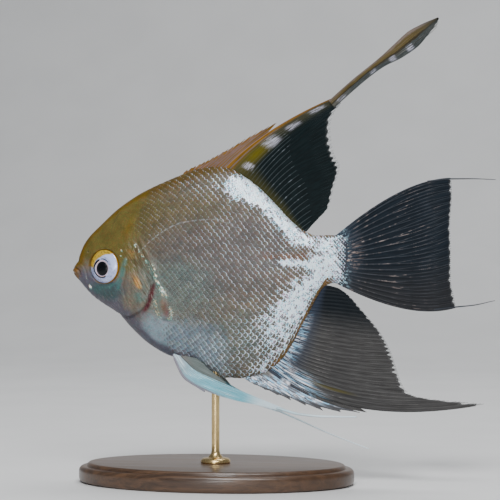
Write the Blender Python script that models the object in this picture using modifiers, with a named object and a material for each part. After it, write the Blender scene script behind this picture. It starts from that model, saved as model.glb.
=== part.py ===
"""A freshwater angelfish (Pterophyllum scalare) as a life-size display model on a plain stand.

The fish swims level, fins spread, on one thin rod. Everything is rigid: nothing moves.
Sizes are millimetres, turned into Blender's metres by MM. Fish points are (x, z) pairs measured
from the tip of the snout: x runs back towards the tail and z runs up. +Y is the fish's right side.
The origin is on the floor, under the middle of the whole model.
"""

import math

import bmesh
import bpy
import numpy as np
from mathutils import Matrix, Vector

MM = 0.001

# ---------------------------------------------------------------- driving dimensions
SNOUT_X, SNOUT_Z = -64.0, 64.0  # where the snout's tip stands above the floor
BODY_LENGTH = 82.5  # snout to the root of the tail fin
GAP = 0.3  # clearance between neighbouring solids
FIN_THIN, FIN_THICK = 0.5, 0.9  # a fin's thickness at its margin and at its root

# Outline of the body from the side: back and belly, as (distance behind the snout, height).
BACK = (
    (0, 0.5), (0.3, 1.3), (1, 2.8), (1.6, 4.7), (2.9, 7.8), (4.8, 10.4), (7.9, 13.4), (14.3, 19.1),
    (20.6, 23.2), (29.9, 27.6), (39.3, 30.8), (44, 31.4), (48.5, 30.8), (53.2, 28.2), (58.4, 24.2),
    (63.9, 18.6), (68.4, 14), (71.5, 11.8), (75.5, 10.7), (82.5, 10.8),
)
BELLY = (
    (0, -1.1), (0.3, -2.1), (0.8, -2.8), (1.6, -3.6), (3.2, -5.5), (6.4, -8.6), (9.5, -10.7),
    (14.3, -13.8), (17.4, -17.2), (23.7, -22.8), (31, -26.5), (38, -27.8), (42, -30), (46, -32.3),
    (51.6, -32.8), (58.4, -31.4), (63.9, -27.6), (67.2, -23.2), (70.2, -17.5), (73, -12.4),
    (75.1, -8.4), (77.5, -5), (80, -4.1), (82.5, -4.5),
)
# Half the body's width, the height at which it is widest, and how sharp its edges are.
HALF_WIDTH = (
    (0, 0.9), (1, 1.9), (3, 2.7), (5.7, 3.6), (10.2, 4.9), (14.7, 6.1), (21, 7), (28, 7.3), (36, 7),
    (46, 6.1), (56, 4.9), (66, 3.6), (74, 2.6), (82.5, 1.3),
)
WIDEST_AT = ((0, 0.3), (10, 0), (20, 1), (30, 2), (45, 1), (60, 0), (75, 3), (82.5, 3.2))
EDGE_SHARPNESS = ((0, 0.75), (10, 0.85), (25, 1.05), (45, 1.2), (65, 1.15), (82.5, 0.9))
# How finely the body is lofted: stations along its blunt front, along the rest, and points up a side.
FRONT_REACH, FRONT_STATIONS, REAR_STATIONS = 5.0, 7, 36
RING_STEPS = 13

# Lines that part the body, each from the top down or from the front back. They and the zones drawn
# from them reach past the body: ABOVE and BELOW it, AHEAD of it and BEHIND it.
ABOVE, BELOW, AHEAD, BEHIND = 42, -42, -9, 95
HEAD_LINE = ((17.5, ABOVE), (18.4, 22), (21.2, 8.4), (22.4, 0), (21.4, -8), (17.2, -13.4), (15.5, -20))
VENT_LINE = ((53, ABOVE), (51, 0), (49.5, BELOW))
STOCK_LINE = ((73.5, ABOVE), (74.6, 3), (76.6, BELOW))
MOUTH_LINE = ((-3, 0.55), (1.8, -0.2), (3.4, -2), (4.6, -3.7), (10.4, -9.6), (11.4, -14))
BREAST_LINE = ((12, -9.5), (17.2, -13.4), (24, -16.4), (30, -20.4), (34.5, -24.6), (38, -33))
GILL_COVER = (
    (20.9, 8.1), (23.4, 4), (25.5, -1.2), (25, -5.6), (23.7, -9.8), (21.2, -12.6), (17.4, -13.5),
    (16.3, -9.6), (15.9, -5.2), (16.4, -1.4), (17.4, 2.6), (18.8, 6),
)
GILL_COVER_THICKNESS = 1.2

EYE_CENTRE = (10.6, 0.9)
EYE_DISC, EYE_DEPTH = 5.5, 2.3  # radii of the eyeball across and along its axis
EYE_OUT = 3.45  # from the mid-plane to the eyeball's centre
EYE_TOE_IN = 15  # degrees that an eye looks forward of straight out

PECTORAL_LOBE = (29.7, -11.4)
PECTORAL_LOBE_RADII = (2.6, 1.5, 3.9)
PECTORAL_LOBE_OUT = 6.0
PECTORAL_LOBE_TILT = 18  # degrees, its top forward
PECTORAL_ROOT = ((29.6, -8.4), (31.9, -13.8))
PECTORAL_ANGLES, PECTORAL_LENGTHS = (58, 38, 12, -14, -34), (12, 17, 18, 15, 10)
PECTORAL_OUT, PECTORAL_SWING = 7.6, 15  # its root's distance from the mid-plane, its angle to the flank

# Fins. Roots and margins are (share of the fin from front to back, x, z), leans are (share, degrees).
DORSAL_SPINES = {
    "root": ((0, 32, 27.4), (0.5, 39.5, 29.9), (1, 45.5, 30.4)),
    "margin": (
        (0, 34.5, 29.9), (0.25, 40.5, 32.5), (0.5, 47, 35.8), (0.75, 54.7, 40.1), (1, 62.8, 44.1),
    ),
    "lean": ((0, 24), (1, 45)),
    "bow": 0.48,
}
DORSAL_RAYS = {
    "root": (
        (0, 46.2, 30.2), (0.2, 51.5, 28.2), (0.45, 57.6, 23.9), (0.7, 63.5, 18), (0.9, 68.6, 12.8),
        (1, 71.2, 11),
    ),
    "margin": (
        (0, 79.6, 51.2), (0.3, 81.3, 49.1), (0.36, 79.7, 46.9), (0.42, 78.4, 42.7), (0.55, 79.3, 35.3),
        (0.68, 81.2, 30.4), (0.8, 79.6, 24.4), (0.9, 78.2, 18.7), (0.96, 75.8, 15.8), (1, 73.4, 13.4),
    ),
    "lean": ((0, 45), (0.3, 53), (0.5, 55), (0.8, 48), (1, 38)),
    "bow": 0.45,
}
CAUDAL = {
    "root": ((0, 81, 10.2), (0.25, 81.8, 7), (0.5, 82, 3.2), (0.75, 81.8, -0.8), (1, 81.4, -3.9)),
    "margin": (
        (0, 114.8, 27.1), (0.15, 115, 22.3), (0.42, 114.5, 13.5), (0.6, 114.8, 4.6), (0.78, 114.8, -2.7),
        (0.9, 115.6, -7.5), (1, 116.2, -10.9),
    ),
    "lean": ((0, 40), (0.25, 22), (0.5, 4), (0.75, -13), (1, -27)),
    "bow": 0.68,
}
ANAL_SPINES = {
    "root": ((0, 51.5, -31.8), (0.5, 56, -31.2), (1, 60, -30)),
    "margin": ((0, 54.5, -33.6), (0.25, 61, -36.5), (0.5, 69, -39.4), (0.75, 79, -41.9), (1, 90, -42.1)),
    "lean": ((0, -28), (1, -38)),
    "bow": 0.5,
}
ANAL_RAYS = {
    "root": (
        (0, 60.8, -29.6), (0.2, 64.5, -25.8), (0.4, 67.6, -21.6), (0.6, 70.6, -15.9), (0.8, 73.4, -10.4),
        (0.93, 75.6, -6.4), (1, 77.2, -4.4),
    ),
    "margin": (
        (0, 124.6, -39.3), (0.05, 117.7, -38.7), (0.1, 109, -38), (0.15, 103.2, -36.9),
        (0.2, 100.4, -34.4), (0.32, 98.5, -29.3), (0.46, 96.8, -24), (0.62, 93.8, -18.4),
        (0.8, 88.4, -11.8), (0.93, 84.2, -7.2), (1, 81.6, -5.4),
    ),
    "lean": ((0, -38), (0.3, -25), (0.6, -12), (0.85, -2), (1, -4)),
    "bow": 0.45,
}
ANAL_STREAMER_FROM = 103.0
ANAL_ZONE = (48, 130, -50, 0)  # front, rear, bottom and top of a box round the anal fin's rays

# Ribbons: (share of the length, x, y, z) along the middle, then (share, width) and (share, twist).
DORSAL_STREAMER = {
    "path": (
        (0, 80.9, 0, 50.6), (0.2, 87.4, 0.3, 56.3), (0.42, 94, 0.9, 61.4), (0.6, 99.4, 1.4, 65.1),
        (0.8, 105.4, 1.2, 69.8), (1, 111.2, 0.6, 74.3),
    ),
    "width": ((0, 2.5), (0.2, 2.9), (0.42, 3.4), (0.6, 4.9), (0.72, 5.4), (0.86, 3.6), (1, 0.8)),
    "twist": ((0, 0), (0.35, 28), (0.6, 10), (1, -16)),
}
PELVIC_LEFT = {
    "path": (
        (0, 33, -3, -26.9), (0.14, 37.2, -3.9, -31.3), (0.35, 43.6, -4.8, -34.4),
        (0.58, 51.5, -5.4, -37.1), (0.8, 59, -5.8, -39.2), (1, 65.8, -6.1, -41.3),
    ),
    "width": ((0, 2.2), (0.14, 4.1), (0.35, 4.1), (0.58, 3.3), (0.8, 1.9), (1, 1)),
    "twist": ((0, 28), (0.5, 14), (1, 0)),
}
PELVIC_RIGHT = {
    "path": (
        (0, 33, 3, -26.9), (0.14, 37.2, 3.9, -31), (0.35, 43, 4.8, -34.4), (0.58, 49.6, 5.4, -37.7),
        (0.8, 55.8, 5.8, -40.1), (1, 62, 6.1, -42.5),
    ),
    "width": ((0, 2.2), (0.14, 4.1), (0.35, 4.1), (0.58, 3), (0.8, 1.7), (1, 0.9)),
    "twist": ((0, -28), (0.5, -14), (1, 0)),
}
PELVIC_FILAMENT_LEFT = {
    "path": (
        (0, 66.2, -6.1, -41.4), (0.2, 71.2, -6.4, -42.5), (0.55, 78.8, -6.7, -43), (1, 88, -6.9, -42.9),
    ),
    "width": ((0, 1), (0.5, 0.8), (1, 0.55)),
    "twist": ((0, 0), (1, 0)),
}
PELVIC_FILAMENT_RIGHT = {
    "path": (
        (0, 62.5, 6.1, -42.8), (0.2, 67.2, 6.6, -44.8), (0.6, 77.8, 7.4, -49.4), (1, 89.4, 8, -53.7),
    ),
    "width": ((0, 0.9), (0.5, 0.7), (1, 0.55)),
    "twist": ((0, 0), (1, 0)),
}
CAUDAL_FILAMENT_TOP = {
    "path": ((0, 115.3, 0, 26.9), (0.4, 120.4, 0.1, 26.9), (1, 128, 0.4, 26.6)),
    "width": ((0, 1), (0.3, 0.7), (1, 0.5)),
    "twist": ((0, 0), (1, 0)),
}
CAUDAL_FILAMENT_BOTTOM = {
    "path": ((0, 116.7, 0, -10.7), (0.4, 121.4, 0.1, -10.2), (1, 127.8, 0.4, -8.8)),
    "width": ((0, 1), (0.3, 0.7), (1, 0.5)),
    "twist": ((0, 0), (1, 0)),
}
RIBBON_THICKNESS = 0.55

STAND_CENTRE_X = -20.0
BASE_RADII, BASE_HEIGHT, BASE_BEVEL = (42.0, 28.0), 6.0, 1.4
SOCKET_DEPTH = 3.0
ROD_RADIUS, PIN_RADIUS, FOOT_RADIUS, FOOT_HEIGHT = 1.2, 0.7, 4.5, 1.6
FOOT_BEVEL, FLARE_RADIUS, FLARE_HEIGHT = 0.6, 1.7, 1.2
PIN_LENGTH, PIN_IN_BELLY = 2.6, 2.4

COLOURS = {
    # name: (colour, roughness, metallic)
    "skin_silver": ((0.46, 0.43, 0.36), 0.35, 0.3),
    "skin_gold": ((0.42, 0.27, 0.09), 0.4, 0.1),
    "skin_lilac": ((0.4, 0.37, 0.42), 0.35, 0.1),
    "gill_silver": ((0.45, 0.45, 0.38), 0.25, 0.5),
    "eye": ((0.75, 0.77, 0.82), 0.12, 0.0),
    "fin_smoke": ((0.1, 0.1, 0.11), 0.4, 0.0),
    "fin_gold": ((0.4, 0.24, 0.06), 0.4, 0.0),
    "fin_blue": ((0.45, 0.66, 0.74), 0.35, 0.0),
    "wood": ((0.06, 0.035, 0.02), 0.45, 0.0),
    "brass": ((0.7, 0.52, 0.24), 0.3, 1.0),
}


# ---------------------------------------------------------------- curves
def through(knots, at):
    """A smooth curve through knots of (position, value), read at a number or an array of numbers.

    It is a cubic in each stretch and never swings past its knots.
    """
    where, value = (np.array(column, float) for column in zip(*knots))
    step = np.diff(where)
    slope = np.diff(value) / step
    tangent = np.zeros(len(where))
    same_way = slope[:-1] * slope[1:] > 0
    if same_way.any():
        before, after = slope[:-1][same_way], slope[1:][same_way]
        w1 = (2 * step[1:] + step[:-1])[same_way]
        w2 = (step[1:] + 2 * step[:-1])[same_way]
        tangent[1:-1][same_way] = (w1 + w2) / (w1 / before + w2 / after)
    tangent[0], tangent[-1] = slope[0], slope[-1]
    at = np.clip(np.asarray(at, float), where[0], where[-1])
    i = np.clip(np.searchsorted(where, at, side="right") - 1, 0, len(step) - 1)
    s = (at - where[i]) / step[i]
    return (
        value[i] * (1 + 2 * s) * (1 - s) ** 2
        + tangent[i] * step[i] * s * (1 - s) ** 2
        + value[i + 1] * s * s * (3 - 2 * s)
        + tangent[i + 1] * step[i] * s * s * (s - 1)
    )


def outline(knots, x):
    """A body outline at x. It is read against the square root of x, which keeps the snout blunt."""
    return through([(math.sqrt(k), v) for k, v in knots], math.sqrt(max(x, 0)))


def columns(knots, at):
    """Each value of knots of (share, a, b, ...), read at a share: one array row (a, b, ...)."""
    return np.array([through([(k[0], k[i]) for k in knots], at) for i in range(1, len(knots[0]))])


def world(x, y, z):
    """A fish point in millimetres as a place in the scene."""
    return Vector(((x + SNOUT_X) * MM, y * MM, (z + SNOUT_Z) * MM))


# ---------------------------------------------------------------- scene and mesh helpers
def clear_scene():
    for thing in list(bpy.data.objects):
        bpy.data.objects.remove(thing)


def new_collection(name):
    made = bpy.data.collections.new(name)
    bpy.context.scene.collection.children.link(made)
    return made


def material(name):
    found = bpy.data.materials.get(name)
    if found:
        return found
    colour, roughness, metallic = COLOURS[name]
    found = bpy.data.materials.new(name)
    found.use_nodes = True
    shader = found.node_tree.nodes["Principled BSDF"]
    shader.inputs["Base Color"].default_value = (*colour, 1)
    shader.inputs["Roughness"].default_value = roughness
    shader.inputs["Metallic"].default_value = metallic
    return found


def add(name, bm, look=None):
    """Turns a bmesh into an object: a part with a look, or a cutter without one."""
    mesh = bpy.data.meshes.new(name)
    bm.to_mesh(mesh)
    bm.free()
    made = bpy.data.objects.new(name, mesh)
    if look is None:
        made.hide_render = True
        made.display_type = "WIRE"
        cutters.objects.link(made)
    else:
        mesh.materials.append(material(look))
        mesh.shade_smooth()
        mesh.set_sharp_from_angle(angle=math.radians(40))
        parts.objects.link(made)
    return made


def boolean(target, cutter, operation):
    cut = target.modifiers.new(cutter.name, "BOOLEAN")
    cut.operation = operation
    cut.solver = "EXACT"
    cut.object = cutter


def loft(rings):
    """A closed solid through rings with the same number of points."""
    bm = bmesh.new()
    grid = [[bm.verts.new(p) for p in ring] for ring in rings]
    for one, two in zip(grid, grid[1:]):
        for i in range(len(one)):
            j = (i + 1) % len(one)
            bm.faces.new((one[i], one[j], two[j], two[i]))
    bm.faces.new(grid[0])
    bm.faces.new(grid[-1])
    bmesh.ops.recalc_face_normals(bm, faces=bm.faces)
    return bm


def prism(name, points, low_y=-20.0, high_y=20.0):
    """A cutter: a side-view outline drawn straight through from one side of the fish to the other."""
    bm = bmesh.new()
    face = bm.faces.new([bm.verts.new(world(x, low_y, z)) for x, z in points])
    pushed = bmesh.ops.extrude_face_region(bm, geom=[face])
    raised = [v for v in pushed["geom"] if isinstance(v, bmesh.types.BMVert)]
    bmesh.ops.translate(bm, verts=raised, vec=(0, (high_y - low_y) * MM, 0))
    bmesh.ops.recalc_face_normals(bm, faces=bm.faces)
    return add(name, bm)


# ---------------------------------------------------------------- body
def section(x, grow):
    """One ring of the body at x, its surface moved outwards by grow millimetres."""
    inside = min(max(x, 0), BODY_LENGTH)
    top, low = outline(BACK, inside) + grow, outline(BELLY, inside) - grow
    wide = through(HALF_WIDTH, inside) + grow
    middle = through(WIDEST_AT, inside)
    sharp = through(EDGE_SHARPNESS, inside)
    side = []
    for angle in np.linspace(-math.pi / 2, math.pi / 2, RING_STEPS + 1):
        reach = top - middle if angle > 0 else middle - low
        side.append((wide * max(math.cos(angle), 0) ** sharp, middle + reach * math.sin(angle)))
    ring = [(-y, z) for y, z in side] + [(y, z) for y, z in side[-2:0:-1]]
    return [world(x, y, z) for y, z in ring]


def body(grow=0.0):
    """The whole fish without fins, as one loft from the lips to the root of the tail fin."""
    front = [FRONT_REACH * (i / FRONT_STATIONS) ** 2 for i in range(FRONT_STATIONS)]
    stations = front + list(np.linspace(FRONT_REACH, BODY_LENGTH, REAR_STATIONS))
    if grow > 0:
        stations = [-grow] + stations + [BODY_LENGTH + grow]
    return loft([section(x, grow) for x in stations])


def beside(line, dx=0.0, dz=0.0):
    return [(x + dx, z + dz) for x, z in line]


def zones():
    """The side-view outlines that part the body, a gap apart from each other."""
    half = GAP / 2
    head_rear, trunk_front = beside(HEAD_LINE, -half), beside(HEAD_LINE, half)
    vent_front, vent_rear = beside(VENT_LINE, -half), beside(VENT_LINE, half)
    stock_front, stock_rear = beside(STOCK_LINE, -half), beside(STOCK_LINE, half)
    throat = (trunk_front[-1][0], BELOW)
    jaw_corner = (MOUTH_LINE[0][0], MOUTH_LINE[-1][1])
    breast_corner = (BREAST_LINE[0][0], BREAST_LINE[-1][1])
    return {
        "head": [(AHEAD, ABOVE)] + head_rear + [(AHEAD, head_rear[-1][1])],
        "trunk": trunk_front + [throat] + vent_front[::-1],
        "hind_trunk": vent_rear + stock_front[::-1],
        "tail_stock": stock_rear + [(BEHIND, BELOW), (BEHIND, ABOVE)],
        "jaw": beside(MOUTH_LINE, 0, -half) + beside([jaw_corner], 0, -half),
        "jaw_room": beside(MOUTH_LINE, 0, half) + beside([jaw_corner], 0, -1),
        "breast": beside(BREAST_LINE, 0, -half) + beside([breast_corner], 0, -half),
        "breast_room": beside(BREAST_LINE, 0, half) + beside([breast_corner], 0, -1),
    }


def gill_slab(name, side, spread, depth):
    """A cutter: the gill cover's outline on one side, down to depth below the body's surface."""
    centre = np.mean(GILL_COVER, axis=0)
    shape = []
    for point in GILL_COVER:
        away = np.array(point) - centre
        shape.append(tuple(point + away / np.linalg.norm(away) * spread))
    reach = (-20.0, -1.0) if side < 0 else (1.0, 20.0)
    slab = prism(name, shape, *reach)
    core = add(name + "_core", body(-depth))
    boolean(slab, core, "DIFFERENCE")
    return slab


def ball(centre, radii, turn, segments=16, rings=10):
    """An ellipsoid with its radii along x, y and z before it is turned."""
    bm = bmesh.new()
    bmesh.ops.create_uvsphere(bm, u_segments=segments, v_segments=rings, radius=MM)
    bmesh.ops.scale(bm, verts=bm.verts, vec=radii)
    bmesh.ops.transform(bm, verts=bm.verts, matrix=Matrix.Translation(centre) @ turn.to_4x4())
    return bm


def eye(name, side, grow, look=None):
    centre = world(EYE_CENTRE[0], side * EYE_OUT, EYE_CENTRE[1])
    turn = Matrix.Rotation(math.radians(side * EYE_TOE_IN), 3, "Z")
    pole_out = Matrix.Rotation(math.radians(90), 3, "X")  # the sphere's rings then run round the pupil
    radii = (EYE_DISC + grow, EYE_DISC + grow, EYE_DEPTH + grow)
    return add(name, ball(centre, radii, turn @ pole_out), look)


def build_body():
    shapes = {name: prism("zone_" + name, points) for name, points in zones().items()}
    sockets = [eye("socket_" + word, side, GAP) for word, side in SIDES]
    slot_depth = GILL_COVER_THICKNESS + GAP
    slots = [gill_slab("gill_slot_" + word, side, GAP / 2, slot_depth) for word, side in SIDES]
    sectors = (
        # node, look, zone kept, zones and cutters taken away
        ("head", "skin_gold", "head", [shapes["jaw_room"], *sockets, *slots]),
        ("lower_jaw", "skin_lilac", "jaw", []),
        ("breast", "skin_lilac", "breast", slots),
        ("trunk", "skin_silver", "trunk", [shapes["breast_room"], *slots, pin_hole()]),
        ("hind_trunk", "skin_silver", "hind_trunk", []),
        ("tail_stock", "skin_silver", "tail_stock", []),
    )
    for name, look, kept, taken in sectors:
        made = add(name, body(), look)
        boolean(made, shapes[kept], "INTERSECT")
        for cutter in taken:
            boolean(made, cutter, "DIFFERENCE")
    trim = {"breast": shapes["trunk"], "lower_jaw": shapes["head"]}
    for name, zone in trim.items():
        boolean(parts.objects[name], zone, "INTERSECT")
    for word, side in SIDES:
        cover = add("gill_cover_" + word, body(), "gill_silver")
        plate = gill_slab("gill_plate_" + word, side, -GAP / 2, GILL_COVER_THICKNESS)
        boolean(cover, plate, "INTERSECT")
        eye("eye_" + word, side, 0.0, "eye")


# ---------------------------------------------------------------- fins
def ray(fin, share, along):
    """A point (x, z) on the fin ray at this share of the fin, from 0 at its root to 1 at its tip."""
    root, tip = columns(fin["root"], share), columns(fin["margin"], share)
    lean = math.radians(through(fin["lean"], share))
    reach = fin["bow"] * np.linalg.norm(tip - root)
    knee = root + reach * np.array((math.cos(lean), math.sin(lean)))
    return (1 - along) ** 2 * root + 2 * along * (1 - along) * knee + along**2 * tip


def sheet(name, places, look, thickness=(FIN_THICK, FIN_THIN)):
    """An open grid of places made solid. Each row runs from root to margin and thins on the way."""
    bm = bmesh.new()
    grid = [[bm.verts.new(p) for p in row] for row in places]
    for one, two in zip(grid, grid[1:]):
        for i in range(len(one) - 1):
            bm.faces.new((one[i], one[i + 1], two[i + 1], two[i]))
    bm.verts.index_update()
    order = [[v.index for v in row] for row in grid]
    made = add(name, bm, look)
    thick, thin = thickness
    group = made.vertex_groups.new(name="thickness")
    for row in order:
        for i, index in enumerate(row):
            share = thick + (thin - thick) * i / (len(row) - 1)
            group.add([index], share / thick, "REPLACE")
    solid = made.modifiers.new("Solidify", "SOLIDIFY")
    solid.thickness = thick * MM
    solid.offset = 0
    solid.vertex_group = group.name
    return made


def fan(name, fin, look, rays, steps, sway):
    """A fin spread in the fish's mid-plane. sway(share, along) is its drift sideways in millimetres."""
    places = []
    for share in np.linspace(0, 1, rays):
        row = []
        for along in np.linspace(0, 1, steps):
            x, z = ray(fin, share, along)
            row.append(world(x, sway(share, along), z))
        places.append(row)
    made = sheet(name, places, look)
    boolean(made, cutters.objects["body_room"], "DIFFERENCE")
    return made


def ribbon(name, strip, look, steps, room=True):
    """A narrow fin along its own middle line, with a width and a twist of its own."""
    shares = np.linspace(0, 1, steps)
    middle = [columns(strip["path"], s) for s in shares]
    places = []
    for side in (-1, -0.33, 0.33, 1):
        row = []
        for i, share in enumerate(shares):
            ahead = middle[min(i + 1, steps - 1)] - middle[max(i - 1, 0)]
            across = np.array((-ahead[2], 0, ahead[0]))
            across /= np.linalg.norm(across)
            twist = math.radians(through(strip["twist"], share))
            across = across * math.cos(twist) + np.array((0, 1, 0)) * math.sin(twist)
            row.append(world(*(middle[i] + across * side * through(strip["width"], share) / 2)))
        places.append(row)
    made = sheet(name, places, look, (RIBBON_THICKNESS, FIN_THIN))
    if room:
        boolean(made, cutters.objects["body_room"], "DIFFERENCE")
    return made


def gentle_sway(amount, waves):
    return lambda share, along: amount * along**1.5 * math.sin(2 * math.pi * waves * share)


def build_middle_fins():
    fan("dorsal_fin_spines", DORSAL_SPINES, "fin_gold", 11, 5, gentle_sway(0, 1))
    fan("dorsal_fin_rays", DORSAL_RAYS, "fin_smoke", 17, 8, gentle_sway(0.5, 1.5))
    fan("caudal_fin", CAUDAL, "fin_smoke", 15, 8, gentle_sway(0.5, 1))
    fan("anal_fin_spines", ANAL_SPINES, "skin_silver", 12, 6, gentle_sway(0, 1))
    front, rear, low, high = ANAL_ZONE
    lengths = (
        ("anal_fin_rays", front, ANAL_STREAMER_FROM - GAP),
        ("anal_fin_streamer", ANAL_STREAMER_FROM, rear),
    )
    for name, start, end in lengths:
        made = fan(name, ANAL_RAYS, "fin_smoke", 18, 8, gentle_sway(0.4, 1))
        zone = prism("zone_" + name, [(start, high), (end, high), (end, low), (start, low)])
        boolean(made, zone, "INTERSECT")
    ribbon("dorsal_fin_streamer", DORSAL_STREAMER, "fin_gold", 15, room=False)
    ribbon("caudal_filament_top", CAUDAL_FILAMENT_TOP, "fin_smoke", 7, room=False)
    ribbon("caudal_filament_bottom", CAUDAL_FILAMENT_BOTTOM, "fin_smoke", 7, room=False)


def build_paired_fins():
    angles = list(zip(np.linspace(0, 1, len(PECTORAL_ANGLES)), PECTORAL_ANGLES))
    lengths = list(zip(np.linspace(0, 1, len(PECTORAL_LENGTHS)), PECTORAL_LENGTHS))
    top, low = (np.array(p) for p in PECTORAL_ROOT)
    for word, side in SIDES:
        centre = world(PECTORAL_LOBE[0], side * PECTORAL_LOBE_OUT, PECTORAL_LOBE[1])
        turn = Matrix.Rotation(math.radians(-PECTORAL_LOBE_TILT), 3, "Y")
        lobe = add("pectoral_base_" + word, ball(centre, PECTORAL_LOBE_RADII, turn, 14, 9), "skin_lilac")
        boolean(lobe, cutters.objects["body_room"], "DIFFERENCE")
        room_radii = [radius + GAP for radius in PECTORAL_LOBE_RADII]
        room = add("pectoral_room_" + word, ball(centre, room_radii, turn, 14, 9))
        places = []
        for share in np.linspace(0, 1, 9):
            start = top + (low - top) * share
            angle = math.radians(through(angles, share))
            row = []
            reach = through(lengths, share) * np.array((math.cos(angle), math.sin(angle)))
            for along in np.linspace(0, 1, 5):
                x, z = start + along * reach
                out = PECTORAL_OUT + math.tan(math.radians(PECTORAL_SWING)) * (x - start[0])
                row.append(world(x, side * out, z))
            places.append(row)
        fin = sheet("pectoral_fin_" + word, places, "fin_smoke", (0.6, FIN_THIN))
        boolean(fin, room, "DIFFERENCE")
        boolean(fin, cutters.objects["body_room"], "DIFFERENCE")
    ribbon("pelvic_fin_left", PELVIC_LEFT, "fin_blue", 14)
    ribbon("pelvic_fin_right", PELVIC_RIGHT, "fin_blue", 14)
    ribbon("pelvic_filament_left", PELVIC_FILAMENT_LEFT, "fin_blue", 9, room=False)
    ribbon("pelvic_filament_right", PELVIC_FILAMENT_RIGHT, "fin_blue", 9, room=False)


# ---------------------------------------------------------------- stand
def pin_top():
    """How high the rod's pin reaches, in millimetres above the floor."""
    return SNOUT_Z + float(outline(BELLY, STAND_CENTRE_X - SNOUT_X)) + PIN_IN_BELLY


def upright(name, radius, low, high, look=None, segments=32):
    bm = bmesh.new()
    radius, depth = radius * MM, (high - low) * MM
    bmesh.ops.create_cone(
        bm, cap_ends=True, segments=segments, radius1=radius, radius2=radius, depth=depth
    )
    bmesh.ops.translate(bm, verts=bm.verts, vec=(STAND_CENTRE_X * MM, 0, (low + high) / 2 * MM))
    return add(name, bm, look)


def pin_hole():
    return upright("pin_hole", PIN_RADIUS + GAP, pin_top() - 12, pin_top() + GAP)


def build_stand():
    base = upright("stand_base", 1.0, 0.0, BASE_HEIGHT, "wood", 48)
    base.data.transform(Matrix.Translation((-STAND_CENTRE_X * MM, 0, 0)))
    base.data.transform(Matrix.Diagonal((*BASE_RADII, 1, 1)))
    base.data.transform(Matrix.Translation((STAND_CENTRE_X * MM, 0, 0)))
    bevel = base.modifiers.new("Bevel", "BEVEL")
    bevel.width = BASE_BEVEL * MM
    bevel.segments = 2
    socket = upright("socket", ROD_RADIUS + GAP, BASE_HEIGHT - SOCKET_DEPTH, BASE_HEIGHT + SOCKET_DEPTH)
    boolean(base, socket, "DIFFERENCE")

    pin, end = pin_top(), BASE_HEIGHT - SOCKET_DEPTH + GAP
    shoulder = pin - PIN_IN_BELLY - PIN_LENGTH + PIN_RADIUS
    foot = BASE_HEIGHT + GAP
    rim = foot + FOOT_HEIGHT
    profile = (  # the rod's outer side from the top down, as (radius, height)
        (0, pin), (PIN_RADIUS, pin - 0.3), (PIN_RADIUS, shoulder + 0.5), (ROD_RADIUS, shoulder),
        (ROD_RADIUS, rim + 0.4 + FLARE_HEIGHT), (FLARE_RADIUS, rim + 0.4),
        (FOOT_RADIUS - FOOT_BEVEL, rim), (FOOT_RADIUS, rim - FOOT_BEVEL), (FOOT_RADIUS, foot),
        (ROD_RADIUS, foot), (ROD_RADIUS, end), (0, end),
    )
    bm = bmesh.new()
    verts = [bm.verts.new((radius * MM, 0, height * MM)) for radius, height in profile]
    for one, two in zip(verts, verts[1:]):
        bm.edges.new((one, two))
    rod = add("stand_rod", bm, "brass")
    rod.location.x = STAND_CENTRE_X * MM
    screw = rod.modifiers.new("Screw", "SCREW")
    screw.steps = screw.render_steps = 24
    screw.use_merge_vertices = True
    screw.merge_threshold = 0.00001


# ---------------------------------------------------------------- the model
SIDES = (("left", -1), ("right", 1))
clear_scene()
parts = new_collection("freshwater_angelfish")
cutters = new_collection("cutters")
add("body_room", body(GAP))
build_body()
build_middle_fins()
build_paired_fins()
build_stand()
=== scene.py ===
"""The looks of a freshwater angelfish model on its display stand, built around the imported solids.

Fish points are millimetres from the tip of the snout: x runs back towards the tail, y to the fish's
right and z up. placed() turns them into metres in the frame. A place on the body is (x, w, side): w runs
from -1 at the belly's keel through 0 on the widest line to 1 at the ridge of the back, and side is -1 on
the fish's left and 1 on its right. Every side view shape, such as an outline or a marking, is in (x, z).
"""

import math

import bpy
import numpy as np
from mathutils import Matrix, Vector


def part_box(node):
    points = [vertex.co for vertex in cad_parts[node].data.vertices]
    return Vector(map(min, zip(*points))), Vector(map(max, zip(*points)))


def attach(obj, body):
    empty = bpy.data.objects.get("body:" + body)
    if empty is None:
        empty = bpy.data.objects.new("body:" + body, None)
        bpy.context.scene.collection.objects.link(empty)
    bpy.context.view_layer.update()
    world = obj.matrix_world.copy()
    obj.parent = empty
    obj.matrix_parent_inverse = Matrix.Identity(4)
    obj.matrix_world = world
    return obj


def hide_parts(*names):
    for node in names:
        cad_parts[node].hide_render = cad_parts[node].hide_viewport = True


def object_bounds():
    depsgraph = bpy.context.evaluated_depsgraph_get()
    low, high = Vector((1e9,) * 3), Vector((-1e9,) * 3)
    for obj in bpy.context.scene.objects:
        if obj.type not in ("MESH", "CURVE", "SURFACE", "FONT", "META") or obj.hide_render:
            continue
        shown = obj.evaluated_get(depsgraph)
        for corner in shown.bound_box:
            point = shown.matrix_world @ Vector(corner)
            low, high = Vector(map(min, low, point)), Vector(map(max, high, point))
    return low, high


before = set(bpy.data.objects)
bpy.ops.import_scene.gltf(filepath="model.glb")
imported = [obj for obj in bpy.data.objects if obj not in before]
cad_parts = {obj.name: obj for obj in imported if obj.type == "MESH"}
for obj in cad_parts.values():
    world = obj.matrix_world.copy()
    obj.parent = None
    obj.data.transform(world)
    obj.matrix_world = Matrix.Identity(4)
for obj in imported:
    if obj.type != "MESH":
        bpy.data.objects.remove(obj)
CAD_LOW, CAD_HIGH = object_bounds()

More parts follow.
